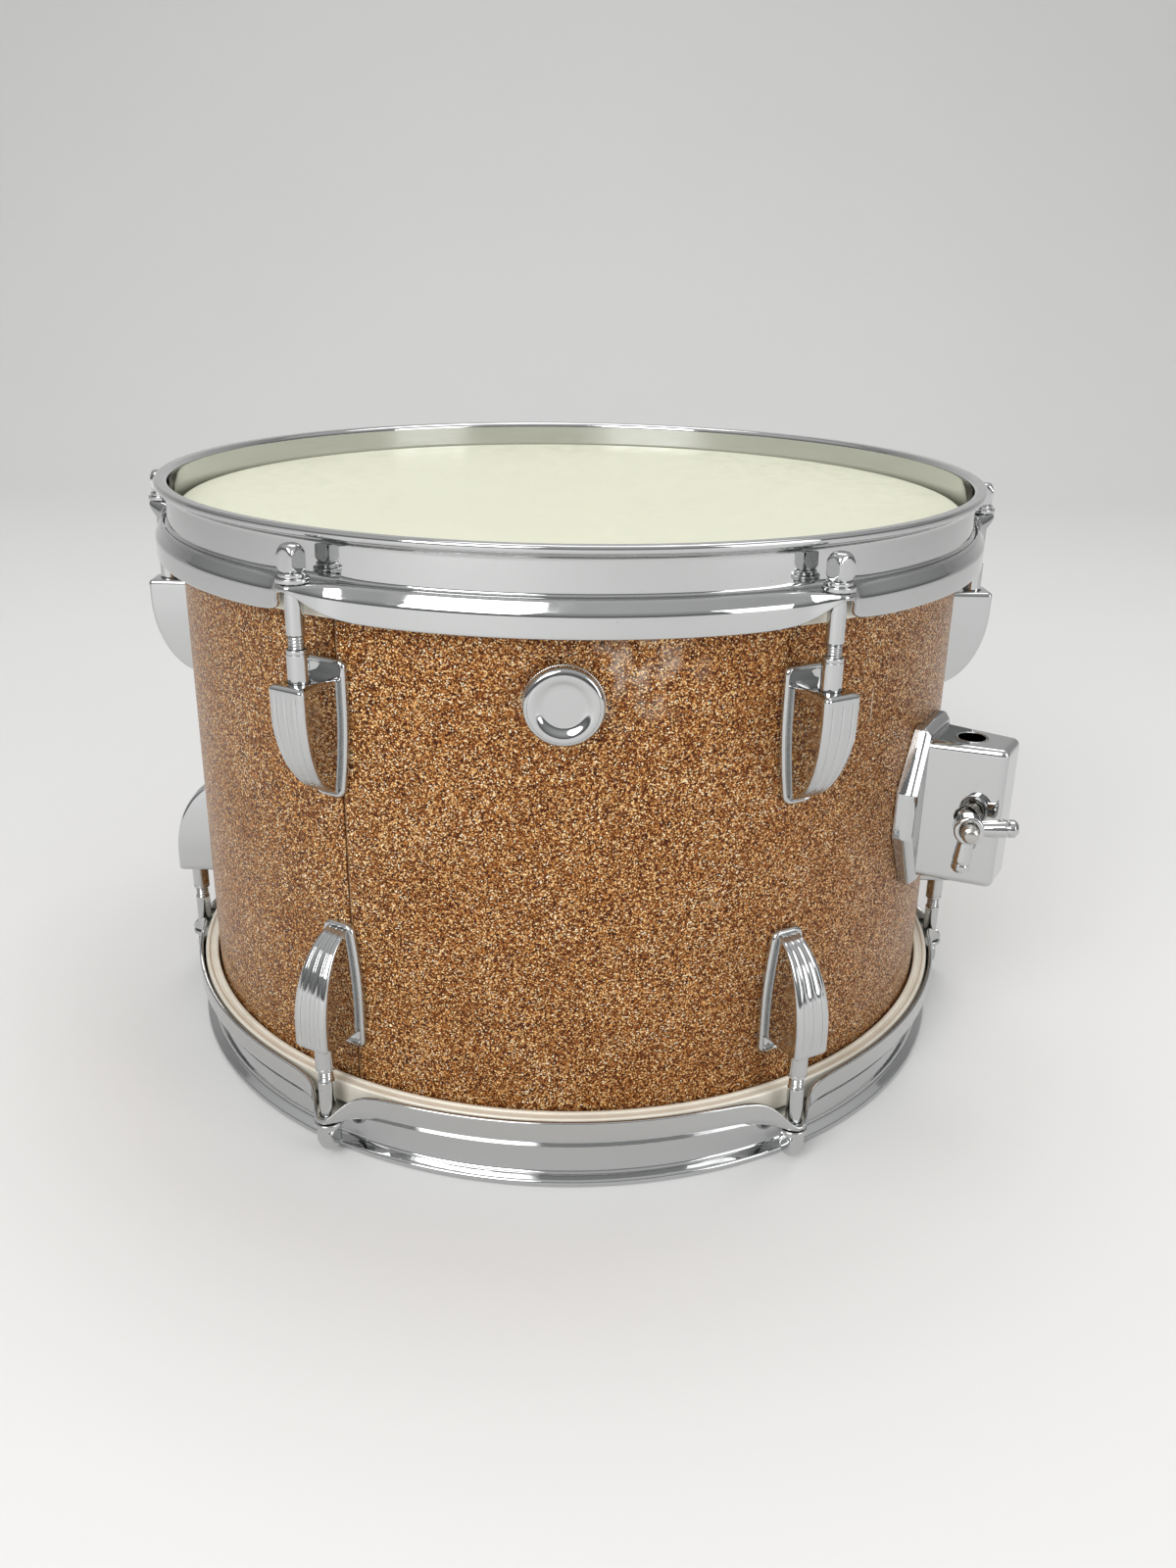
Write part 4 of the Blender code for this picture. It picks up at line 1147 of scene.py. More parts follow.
@dataclass
class Lug:
    """A cast lug: a beaded base, and a ribbed body that curves down to it.

    The bead's rings are (inset, height) in millimetres, from the base's edge inwards.
    """

    width: float = 17.8 * MM
    narrow_end: float = 12.0 * MM
    taper_start: float = 0.3
    taper_power: float = 1.8
    taper_levels: tuple[float, ...] = (1.0, 0.3, 0.12, -0.04, -0.18, -0.32, -0.45, -0.57, -1.0)
    side_rounding: float = 12.0 * MM
    top_rounding: float = 2.4 * MM
    foot_rounding: float = 3.6 * MM
    bead: tuple[tuple[float, float], ...] = (
        (0.0, 0.5), (0.0, 1.3), (0.12, 1.85), (0.40, 2.3), (0.80, 2.5), (1.20, 2.5),
        (1.60, 2.25), (1.90, 1.85), (2.15, 1.5))
    lip: float = 1.5 * MM
    fillet: float = 1.0 * MM
    corner: float = 1.5 * MM
    sunk: float = 0.3 * MM
    thinnest: float = 0.1 * MM
    body_inset: float = 2.05 * MM
    body_drop: float = 5.6 * MM
    body_foot: float = 1.8 * MM
    straight: float = 8.0 * MM
    plane: float = 1.4 * MM
    rib_pitch: float = 3.1 * MM
    rib_depth: float = 0.55 * MM
    groove_width: float = 0.42 * MM
    rib_crown: float = 0.12 * MM
    nut_radius: float = 3.45 * MM
    nut_length: float = 28.0 * MM
    nut_proud: float = 10.9 * MM
    band_wall: float = 3.65 * MM

    @property
    def reach(self) -> float:
        """How far the lug's band stands out from the wrap."""
        return SIZES.rod_circle - SIZES.wrap_radius + self.nut_radius + self.band_wall

    @property
    def centre(self) -> float:
        """The height of the middle of a batter lug's base."""
        return SIZES.height - SIZES.lug_below_rim - SIZES.lug_length / 2

    @property
    def nut_top(self) -> float:
        """The height of a batter swivel nut's top."""
        return SIZES.height - SIZES.lug_below_rim - self.body_drop + self.nut_proud

    def half_base(self, up: Array) -> Array:
        """Half the base's width at a height over its middle.

        With t the share of the way from where the taper starts to the foot, the width is
        wide - (wide - narrow) t^power.

        Args:
            up: Heights over the base's middle.

        Returns:
            Half the width at each height.
        """
        long = SIZES.lug_length / 2
        fall = np.clip((self.taper_start * long - up) / ((1 + self.taper_start) * long), 0.0, 1.0)
        return (self.width - (self.width - self.narrow_end) * fall ** self.taper_power) / 2

    def base(self) -> Surface:
        """The base's rounded outline, ringed: on the drum, up the bead and over the plane.

        Returns:
            The closed base, about its middle on the wrap.
        """
        half, long = self.width / 2, SIZES.lug_length / 2
        side_y = long * np.array(self.taper_levels)
        right = np.stack([self.half_base(side_y), side_y], -1)
        outline = np.concatenate([right, right[::-1] * (-1, 1)])
        radii = np.full(len(outline), self.side_rounding)
        radii[[0, -1]] = self.top_rounding
        radii[[len(right) - 1, len(right)]] = self.foot_rounding
        outline = rounded(outline, radii, 6)
        rings = [(inset, np.nan) for inset in (half / MM, 6.0, 3.0, 0.0)]
        rings += self.bead
        rings += [(inset, self.plane / MM) for inset in (2.5, 4.5, half / MM)]
        flat, out, _ = ringed(outline, np.array([half, long]), rings, SIZES.clearance / 2)
        return lattice(np.stack([flat[..., 0], -out, flat[..., 1]], -1))

    def body(self) -> Surface:
        """Level sections of the body, from its lipped top to where it meets the base.

        A section is a fillet on the base, a wall, a round corner and the band, out to
        D = reach cos a at height knee - (knee - foot) sin a below the straight part. The
        band's grooves, e^-((x - x0) / w)^2 deep, are cut along its normal.

        Returns:
            The closed body, about the base's middle on the wrap.
        """
        top = SIZES.lug_length / 2 - self.body_drop
        foot = self.body_foot - SIZES.lug_length / 2
        knee = top - self.straight
        lip = self.lip
        tilt = np.linspace(0.0, np.pi / 2, 6)
        straight = np.linspace(top - lip, knee, 6)[1:]
        bend = np.linspace(0.0, np.pi / 2, 30)[1:]
        upright = len(tilt) + len(straight)
        inset = np.concatenate([lip * (1 - np.sin(tilt)), np.zeros(len(straight) + len(bend))])
        up = np.concatenate([top - lip * (1 - np.cos(tilt)), straight,
                             knee - (knee - foot) * np.sin(bend)])
        reach = np.concatenate([np.full(upright, self.reach), self.reach * np.cos(bend)])
        depth = reach - inset
        normal_out = np.concatenate([np.ones(upright), np.cos(bend) * (knee - foot)])
        normal_up = np.concatenate([np.zeros(upright), -self.reach * np.sin(bend)])
        size = np.hypot(normal_out, normal_up)
        normal_out, normal_up = normal_out / size, normal_up / size
        floor = np.minimum(self.plane, depth - self.thinnest)[:, None]
        room = depth[:, None] - floor
        fillet, corner = (np.minimum(size, 0.45 * room) for size in (self.fillet, self.corner))
        half = (self.half_base(up) - self.body_inset - inset)[:, None]
        pitch = self.rib_pitch * half / half[0]
        arc = np.linspace(0.0, np.pi / 2, 7)[None]
        across = np.linspace(1.0, 0.0, 29)[None, 1:]
        wall_low, wall_high = floor + fillet, depth[:, None] - corner
        x = np.concatenate([half + fillet, half + fillet * (1 - np.sin(arc)), half, half,
                            half - corner * (1 - np.cos(arc)), (half - corner) * across], 1)
        out = np.concatenate([floor - self.sunk, floor + fillet * (1 - np.cos(arc)),
                              wall_low * 0.93 + wall_high * 0.07,
                              wall_low * 0.07 + wall_high * 0.93,
                              wall_high + corner * np.sin(arc),
                              depth[:, None] + 0 * across * half], 1)
        x = np.concatenate([x, -x[:, -2::-1]], 1)
        out = np.concatenate([out, out[:, -2::-1]], 1)
        groove = sum(np.exp(-((x - place * pitch) / self.groove_width) ** 2)
                     for place in (-1, 0, 1))
        crown = -self.rib_crown * np.cos(2 * np.pi * x / pitch) * (np.abs(x) < 2 * pitch)
        on_band = smooth_step((out - depth[:, None] + corner * 0.35) / (corner * 0.3))
        fading = smooth_step((top - up - 2.0 * MM) / (2.4 * MM))[:, None]
        cut = (self.rib_depth * groove + crown) * on_band * fading * np.clip(room / (2 * MM), 0, 1)
        out = out - cut * normal_out[:, None]
        height = up[:, None] - cut * normal_up[:, None]
        return capped(np.stack([x, -out, height], -1), x.shape[1] // 2)

    def mesh(self) -> bpy.types.Mesh:
        """The whole lug about its base's middle, with the pocket for its nut.

        Returns:
            The lug's mesh.
        """
        nut_top = self.nut_top - self.centre
        pocket = drill(self.nut_radius + SIZES.clearance,
                       nut_top - self.nut_length - SIZES.clearance, nut_top,
                       at_front(SIZES.rod_circle - SIZES.wrap_radius, 0.0))
        return merged(carved(to_mesh("body", self.body()), [pocket]), to_mesh("base", self.base()))

    def build(self, shop: Workshop) -> None:
        """Adds the twelve lugs.

        Args:
            shop: The workshop that takes the pieces.
        """
        mesh = self.mesh()
        for side in Side:
            for number, azimuth in enumerate(SIZES.lug_azimuths, 1):
                place = on_side(side) @ turn(azimuth) @ at_front(SIZES.wrap_radius, self.centre)
                name = f"{side.value}_lug_{number}"
                shop.add(f"{side.value}_casting_{number}", mesh, Slot.CHROME, "drum", name,
                         place=place)


@dataclass
class Tuning:
    """The twelve swivel nuts and tension rods.

    The dome is (share of the head's height below its top, radius in millimetres), and the
    head's foot is (height over its underside, radius), both in millimetres.
    """

    lug: Lug
    dome: tuple[tuple[float, float], ...] = (
        (0.0, 0.0), (0.0, 1.1), (0.006, 1.6), (0.02, 2.2), (0.05, 2.7), (0.09, 3.1),
        (0.14, 3.45), (0.2, 3.8), (0.27, 4.15), (0.35, 4.5))
    head_foot: tuple[tuple[float, float], ...] = ((1.3, 4.35), (0.9, 4.0), (0.5, 3.65), (0.15, 3.5))
    head_radius: float = 4.7 * MM
    head_power: float = 16.0
    nut_bore: float = 2.78
    smooth_angle: float = 50.0
    thread_pitch: float = 1.06 * MM
    shank: float = 2.95 * MM
    root: float = 2.32 * MM
    crest: float = 2.68 * MM
    shank_length: float = 16.1 * MM
    rod_length: float = 45.5 * MM
    key: float = 6.35 * MM
    key_low: float = 3.3 * MM
    key_top: float = 12.1 * MM

    def rod(self) -> Surface:
        """A tension rod about the ledge it bears on.

        Below the head it is turned. The head is the lesser of the square (half / max(|cos t|,
        |sin t|)) and a turned dome, blended as (a^-p + b^-p)^(-1/p). The thread is the root
        plus the thread's rise.

        Returns:
            The closed rod, hanging along -Z.
        """
        angle = full_turn(48)
        low, top, end = self.key_low, self.key_top, -self.rod_length
        dome, foot = np.array(self.dome), np.array(self.head_foot) * MM
        dome_z = top - (top - low) * dome[:, 0]
        mid_z = np.linspace(dome_z[-1], low + 1.7 * MM, 7)[1:]
        mid_r = np.full(len(mid_z), self.head_radius)
        head_z = np.concatenate([dome_z, mid_z, low + foot[:, 0]])[:, None]
        head_r = np.concatenate([dome[:, 1] * MM, mid_r, foot[:, 1]])[:, None]
        square = self.key / 2 / np.maximum(np.abs(np.cos(angle)), np.abs(np.sin(angle)))
        power = self.head_power
        blend = (np.maximum(head_r, 1e-6) ** -power + square ** -power) ** (-1 / power)
        head = np.where(head_r > 0, blend, 0.0)
        under, seat, shank = low / MM, SIZES.clearance / MM, self.shank / MM
        washers = np.array([
            (3.4, under, 0.1), (4.2, under, 0.35), (4.2, 1.95, 0.25), (3.9, 1.9, 0.1),
            (4.7, 1.9, 0.1), (5.3, 1.9, 0.55), (5.3, seat, 0.5), (shank, seat, 0.1),
            (shank, -self.shank_length / MM, 0.2)]) * MM
        axis = [(0.0, -self.shank_length, 0.0), (0.0, low, 0.0)]
        closed, arc = np.concatenate([washers, axis]), 4
        turned_part = rounded(closed[:, :2], closed[:, 2], arc)[:-len(axis) * (arc + 3)]
        start, pitch = -self.shank_length - 0.25 * MM, self.thread_pitch
        rows = np.arange(start, end + 1.0 * MM, -pitch / 6)[:, None]
        screw = self.root + (self.crest - self.root) * thread(angle, rows, pitch)
        run_out = smooth_step((-self.shank_length - rows) / (0.8 * MM))
        threaded = self.shank + (screw - self.shank) * run_out
        tail = np.array([(2.3, end / MM + 0.5), (1.7, end / MM), (0.0, end / MM)]) * MM
        radius = np.concatenate([head, turned_part[:, :1] + 0 * angle, threaded,
                                 tail[:, :1] + 0 * angle])
        height = np.concatenate([head_z, turned_part[:, 1:], rows, tail[:, 1:]])
        return spun(radius, height, angle)

    def nut(self) -> Surface:
        """A swivel nut, hanging from its top: a tube with a rounded, grooved mouth.

        Returns:
            The closed tube, hanging along -Z.
        """
        outer, length = self.lug.nut_radius / MM, self.lug.nut_length / MM
        groove, bore = outer - 0.18, self.nut_bore
        return turned_corners([
            (outer, 0.0, 0.45), (outer, -1.1, 0.1), (groove, -1.25, 0.05), (groove, -1.5, 0.05),
            (outer, -1.65, 0.1), (outer, -length, 0.4), (bore, -length, 0.1), (bore, 0.0, 0.25)],
            48, 4)

    def build(self, shop: Workshop) -> None:
        """Adds the nuts to the lugs and the rods to their own bodies.

        Args:
            shop: The workshop that takes the pieces.
        """
        rod = to_mesh("rod", self.rod(), self.smooth_angle)
        nut = to_mesh("nut", self.nut())
        for side in Side:
            for number, azimuth in enumerate(SIZES.lug_azimuths, 1):
                spot, name = on_side(side) @ turn(azimuth), side.value
                shop.add(f"{name}_nut_tube_{number}", nut, Slot.CHROME, "drum",
                         f"{name}_swivel_nut_{number}",
                         place=spot @ at_front(SIZES.rod_circle, self.lug.nut_top))
                shop.add(f"{name}_key_rod_{number}", rod, Slot.CHROME, f"{name}_rod_{number}",
                         f"{name}_rod_{number}",
                         place=spot @ at_front(SIZES.rod_circle, SIZES.ledge))


@dataclass
class Muffler:
    """The knob outside and the felt pad inside, with the CAD's spindle and arm between them.

    The sizes of the knob and the pad are in millimetres.
    """

    back: float = 154.2 * MM
    knob_radius: float = 12.8
    knob_bore: float = 3.4
    grip_depth: float = 0.28
    teeth: int = 110
    tooth_depth: float = 0.16 * MM
    smooth_angle: float = 50.0
    arm_length: float = 28.52 * MM
    rest_angle: float = 10.0
    arm_face: float = 123.3 * MM
    pad_radius: float = 11.0
    pad_thickness: float = 11.0
    pad_bore: float = 2.5
    pad_gap: float = 0.3

    def knob(self) -> Surface:
        """The knob's dished profile turned, and milled on its grip.

        On the grip the radius is r - depth (1 + cos(teeth t)) / 2.

        Returns:
            The closed knob, with its back at height 0.
        """
        edge, bore = self.knob_radius, self.knob_bore
        corners = np.array([
            (0.0, 5.6, 0.0), (6.9, 5.6, 3.2), (9.6, 7.0, 4.0), (12.5, 6.3, 1.6), (12.5, 3.2, 0.1),
            (edge, 3.1, 0.15), (edge, 0.4, 0.25), (12.0, 0.0, 0.2), (bore, 0.0, 0.2),
            (bore, 4.0, 0.0), (0.0, 4.0, 0.0)]) * MM
        profile = rounded(corners[:, :2], corners[:, 2], 7)
        angle = full_turn(self.teeth * 4)
        radius, height = profile[:, :1], profile[:, 1:]
        milled = smooth_step((radius - (edge - self.grip_depth) * MM) / (0.2 * MM))
        teeth = milled * self.tooth_depth * (1 + np.cos(self.teeth * angle)) / 2
        return spun(radius - teeth, height, angle, close_rows=True)

    def pad(self) -> Surface:
        """The felt disc, crowned and round at its rim, with the hole for its pin.

        Returns:
            The closed disc about +Z, with its back at the arm's face.
        """
        radius, bore, back = self.pad_radius, self.pad_bore, self.pad_gap
        face = back + self.pad_thickness
        return turned_corners([(radius, face, 3.4), (radius, back, 2.4), (bore, back, 0.4),
                               (bore, face - 0.6, 0.6)], 64, 7)

    def build(self, shop: Workshop) -> None:
        """Adds the knob and the pad, and dresses what stands between them.

        Args:
            shop: The workshop that takes the pieces.
        """
        place = outwards(SIZES.muffler_height)
        knob = to_mesh("knob", self.knob(), self.smooth_angle)
        shop.add("milled_knob", knob, Slot.CHROME, "muffler", "muffler_knob",
                 place=place @ Matrix.Translation((0.0, 0.0, self.back)))
        swing = Matrix.Rotation(-math.radians(self.rest_angle), 4, "Z")
        arm_end = Matrix.Translation((-self.arm_length, 0.0, self.arm_face))
        pad = shop.add("felt_disc", to_mesh("pad", self.pad()), Slot.FELT, "muffler",
                       "muffler_pad", place=place @ swing @ arm_end)
        shop.dress("muffler_bushing", Slot.CHROME)
        for node in ("muffler_locknut", "muffler_spindle", "muffler_arm"):
            shop.dress(node, Slot.STEEL)


@dataclass
class Bracket:
    """The mounting bracket: its cast body, the eyebolt inside and the wing nut on its stud.

    The flange's half sizes, outline and rings are in millimetres. Its ridge is (inset, drop
    below the flange's top), from its edge inwards.
    """

    azimuth: float = 60.0
    height: float = 115.7 * MM
    flange: float = 5.8 * MM
    flange_wide: float = 23.5
    flange_tall: float = 31.0
    flange_end: float = 12.5
    flange_side: float = 8.8
    middle_inset: float = 16.0
    ridge: tuple[tuple[float, float], ...] = (
        (0.0, 4.0), (0.0, 2.4), (0.25, 1.9), (1.9, 0.35), (2.3, 0.05), (2.8, 0.0), (3.2, 0.2),
        (3.6, 0.6), (4.4, 0.75), (9.0, 0.75), (16.0, 0.75))
    box_width: float = 22.4 * MM
    draft: float = 8.4
    box_depth: float = 27.0 * MM
    box_height: float = 53.6 * MM
    box_wall: float = 2.0 * MM
    rounding: float = 2.6 * MM
    arm_hole: float = 5.0 * MM
    arm_reach: float = 17.3 * MM
    arm_rim: float = 1.3
    bolt_hole: float = 4.2 * MM
    bolt: float = 3.0 * MM
    bolt_root: float = 2.62 * MM
    bolt_pitch: float = 1.27 * MM
    stud_start: float = 6.7 * MM
    eye_wall: float = 2.7
    eye_half: float = 3.5
    smooth_angle: float = 55.0
    peg_angles: tuple[float, float] = (5.0, -95.0)
    tilt: float = 20.0
    wing_place: float = 22.0 * MM
    stud_end: float = 30.0 * MM
    screws: int = 4

    @property
    def spot(self) -> Matrix:
        """The bracket's own frame about the drum's axis, outwards along -Y."""
        return turn(self.azimuth) @ Matrix.Translation((0.0, 0.0, self.height))

    @property
    def stud_frame(self) -> Matrix:
        """The eyebolt's frame: about the arm hole's axis, +Z along the stud.

        Returns:
            The frame's matrix.
        """
        middle = self.spot @ at_front(SIZES.wrap_radius + self.arm_reach, 0.0)
        tilted = middle @ Matrix.Rotation(math.radians(self.tilt), 4, "Z")
        return tilted @ Matrix.Rotation(-math.pi / 2, 4, "Y")

    def narrowing(self, reach: Array) -> Array:
        """How much less than at the arm hole each side of the box stands out at a radius."""
        beyond = reach - SIZES.wrap_radius - self.arm_reach
        return beyond * math.tan(math.radians(self.draft))

    @property
    def bolt_lean(self) -> float:
        """How far outside the arm hole's axis the stud passes through the side wall."""
        return (self.box_width - self.box_wall) / 2 * math.tan(math.radians(self.tilt))

    def lines(self, half: float, count: int) -> Array:
        """The lines of a face's grid: (h - r) + r tan t near an edge, and even ones between.

        Args:
            half: Half the face's length h.
            count: The number of even lines.

        Returns:
            The lines' places.
        """
        inner, guard = half - self.rounding, 0.3 * MM
        arc = inner + self.rounding * np.tan(np.linspace(0.0, np.pi / 4, 5))
        middle = np.linspace(-inner + guard, inner - guard, count)
        return np.concatenate([-arc[::-1], middle, arc])

    def box(self) -> Surface:
        """A block with round edges, whose sides lean in by the draft.

        Point q of a plain block goes to c + r (q - c) / |q - c|, where c is q held inside the
        block less r.

        Returns:
            The closed box, about the drum's axis.
        """
        near, far = self.flange / 2, self.flange + self.box_depth
        half = np.array([self.box_width / 2, (far - near) / 2, self.box_height / 2])
        middle = np.array([0.0, -(SIZES.wrap_radius + (far + near) / 2), 0.0])
        faces = []
        for axis in range(3):
            first, second = [other for other in range(3) if other != axis]
            u, v = np.meshgrid(self.lines(half[first], 22), self.lines(half[second], 34),
                               indexing="ij")
            for sign in (-1.0, 1.0):
                grid = np.empty((*u.shape, 3))
                grid[..., axis], grid[..., first], grid[..., second] = sign * half[axis], u, v
                faces.append(lattice(grid, close_columns=False))
        block = faces[0].joined(*faces[1:])
        held = np.clip(block.points, self.rounding - half, half - self.rounding)
        away = block.points - held
        points = held + self.rounding * away / np.linalg.norm(away, axis=1, keepdims=True) + middle
        points[:, 0] -= points[:, 0] / half[0] * self.narrowing(-points[:, 1])
        return Surface(points, block.faces)

    def body(self) -> bpy.types.Mesh:
        """The box on its flange, hollow, with the arm's hole and the bolt's.

        Returns:
            The casting, about the drum's axis.
        """
        middle = at_front(SIZES.wrap_radius + self.arm_reach, 0.0)
        arm = drill(self.arm_hole, -self.box_height, self.box_height, middle, 64)
        sideways = middle @ at_front(self.bolt_lean, 0.0) @ Matrix.Rotation(-math.pi / 2, 4, "Y")
        bolt = drill(self.bolt_hole, 1.0 * MM, self.box_width, sideways, 56)
        body = carved(to_mesh("box", self.box()), [self.cavity(), arm, bolt])
        rim = to_mesh("rim", self.hole_rim().placed(middle))
        return merged(body, to_mesh("flange", self.plate()), rim)

    def cavity(self) -> bpy.types.Mesh:
        """The hollow of the box: a block whose sides lean in as the box's do.

        Returns:
            The mesh to cut away.
        """
        left_behind = 0.6 * MM
        inside = np.array([self.box_width - 2 * self.box_wall,
                           self.box_depth - self.box_wall + self.flange / 2 - left_behind,
                           self.box_height - 2 * self.box_wall])
        deep = SIZES.wrap_radius + self.flange + self.box_depth - self.box_wall - inside[1] / 2
        corner = np.array([(-1, -1), (1, -1), (1, 1), (-1, 1)]) * inside[:2] / 2
        levels = (-inside[2] / 2, inside[2] / 2)
        sides = lattice(np.stack([np.concatenate([corner, np.full((4, 1), level)], 1)
                                  for level in levels]))
        faces = np.concatenate([sides.faces, [[0, 1, 2, 3], [7, 6, 5, 4]]])
        hollow = Surface(sides.points, faces).placed(at_front(deep, 0.0))
        lean = self.narrowing(-hollow.points[:, 1])
        hollow.points[:, 0] -= np.sign(hollow.points[:, 0]) * lean
        return to_mesh("cavity", hollow)

    def hole_rim(self) -> Surface:
        """The rolled rim that stands round the arm hole's mouth on the top face.

        Returns:
            The closed rim, about the arm hole's axis.
        """
        bore = self.arm_hole / MM
        edge, face = bore + self.arm_rim, self.box_height / 2 / MM
        root, crest = face - 1.2, face + 0.15
        return turned_corners([(bore, root, 0.1), (edge, root, 0.1), (edge, crest, 0.5),
                               (bore, crest, 0.5)], 64, 4)

    def plate(self) -> Surface:
        """The flange's long octagon, ringed: on the drum, up a bevel and over a raised ridge.

        Its edge has one more ring, halfway between the drum and the bevel.

        Returns:
            The closed flange, about the drum's axis.
        """
        wide, tall = self.flange_wide, self.flange_tall
        end, side = self.flange_end, self.flange_side
        corners = np.array([(end, -tall), (wide, -side), (wide, side), (end, tall)]) * MM
        outline = np.concatenate([corners, corners[::-1] * (-1, 1)])
        outline = rounded(outline, np.array([1.6, 1.2, 1.2, 1.6, 1.6, 1.2, 1.2, 1.6]) * MM, 4)
        top = self.flange / MM
        rings = [(inset, np.nan) for inset in (self.middle_inset, 12.0, 8.0, 4.0, 0.0)]
        edge = len(rings)
        rings += [(inset, top - drop) for inset, drop in self.ridge]
        size = np.array([wide, tall]) * MM
        flat, out, seat = ringed(outline, size, rings, SIZES.clearance)
        out[edge] = (seat[edge - 1] + out[edge + 1]) / 2
        return lattice(np.stack([flat[..., 0], -(out + SIZES.wrap_radius), flat[..., 1]], -1))

    def eyebolt(self) -> bpy.types.Mesh:
        """The eye round the arm hole and its threaded stud.

        Returns:
            The eyebolt, with its stud along +Z.
        """
        bore, half = self.arm_hole / MM + 0.3, self.eye_half
        rim = bore + self.eye_wall
        eye = turned_corners([(bore, -half, 0.8), (rim, -half, 1.2), (rim, half, 1.2),
                              (bore, half, 0.8)], 56, 5)
        eye = eye.placed(Matrix.Rotation(math.pi / 2, 4, "Y"))
        angle = full_turn(40)
        pitch, start, end, root = self.bolt_pitch, self.stud_start, self.stud_end, self.bolt_root
        rows = np.arange(start + 3.0 * MM, end - 0.7 * MM, pitch / 8)[:, None]
        threaded = root + (self.bolt - root) * thread(angle, rows, pitch)
        near = np.array([(0.0, start), (2.9 * MM, start), (2.9 * MM, start + 2.9 * MM)])
        far = np.array([(2.55 * MM, end - 0.55 * MM), (2.1 * MM, end - 0.12 * MM),
                        (1.9 * MM, end), (0.0, end)])
        radius = np.concatenate([near[:, :1] + 0 * angle, threaded, far[:, :1] + 0 * angle])
        height = np.concatenate([near[:, 1:], rows, far[:, 1:]])
        stud = to_mesh("stud", spun(radius, height, angle), self.smooth_angle)
        return merged(to_mesh("eye", eye), stud)

    def wing_nut(self) -> bpy.types.Mesh:
        """The hub with its two round pegs, each with a waist and a ball end.

        Returns:
            The wing nut, with its hub about +Z.
        """
        bore, edge, half = 3.3, 5.4, 3.0
        hub = turned_corners([(bore, -half, 0.4), (edge, -half, 1.1), (edge, half, 1.1),
                              (bore, half, 0.4)], 64, 5)
        peg = turned_corners([
            (0.0, 4.0, 0.0), (2.75, 4.0, 0.1), (3.05, 8.0, 3.0), (3.3, 12.3, 0.8),
            (3.0, 13.2, 0.25), (3.25, 13.9, 0.4), (3.2, 15.6, 1.0), (1.9, 17.0, 1.6),
            (0.0, 17.0, 0.0)], 48, 5)
        pegs = []
        for angle in np.radians(self.peg_angles):
            towards = Vector((math.sin(angle), -math.cos(angle), 0.0))
            aim = towards.to_track_quat("Z", "Y").to_matrix().to_4x4()
            pegs.append(to_mesh("peg", peg.placed(aim)))
        return merged(to_mesh("hub", hub), *pegs)

    def build(self, shop: Workshop) -> None:
        """Adds the bracket's pieces and dresses the plate and screws behind it.

        Args:
            shop: The workshop that takes the pieces.
        """
        shop.add("bracket_casting", self.body(), Slot.CHROME, "drum", "bracket_body",
                 place=self.spot)
        shop.add("clamp_eyebolt", self.eyebolt(), Slot.STEEL, "eyebolt", "bracket_eyebolt",
                 place=self.stud_frame)
        hub = self.stud_frame @ Matrix.Translation((0.0, 0.0, self.wing_place))
        shop.add("clamp_wing_nut", self.wing_nut(), Slot.CHROME, "wing_nut", "bracket_wing_nut",
                 place=hub)
        shop.dress("bracket_backing_plate", Slot.STEEL)
        for number in range(1, self.screws + 1):
            shop.dress(f"bracket_screw_{number}", Slot.STEEL)


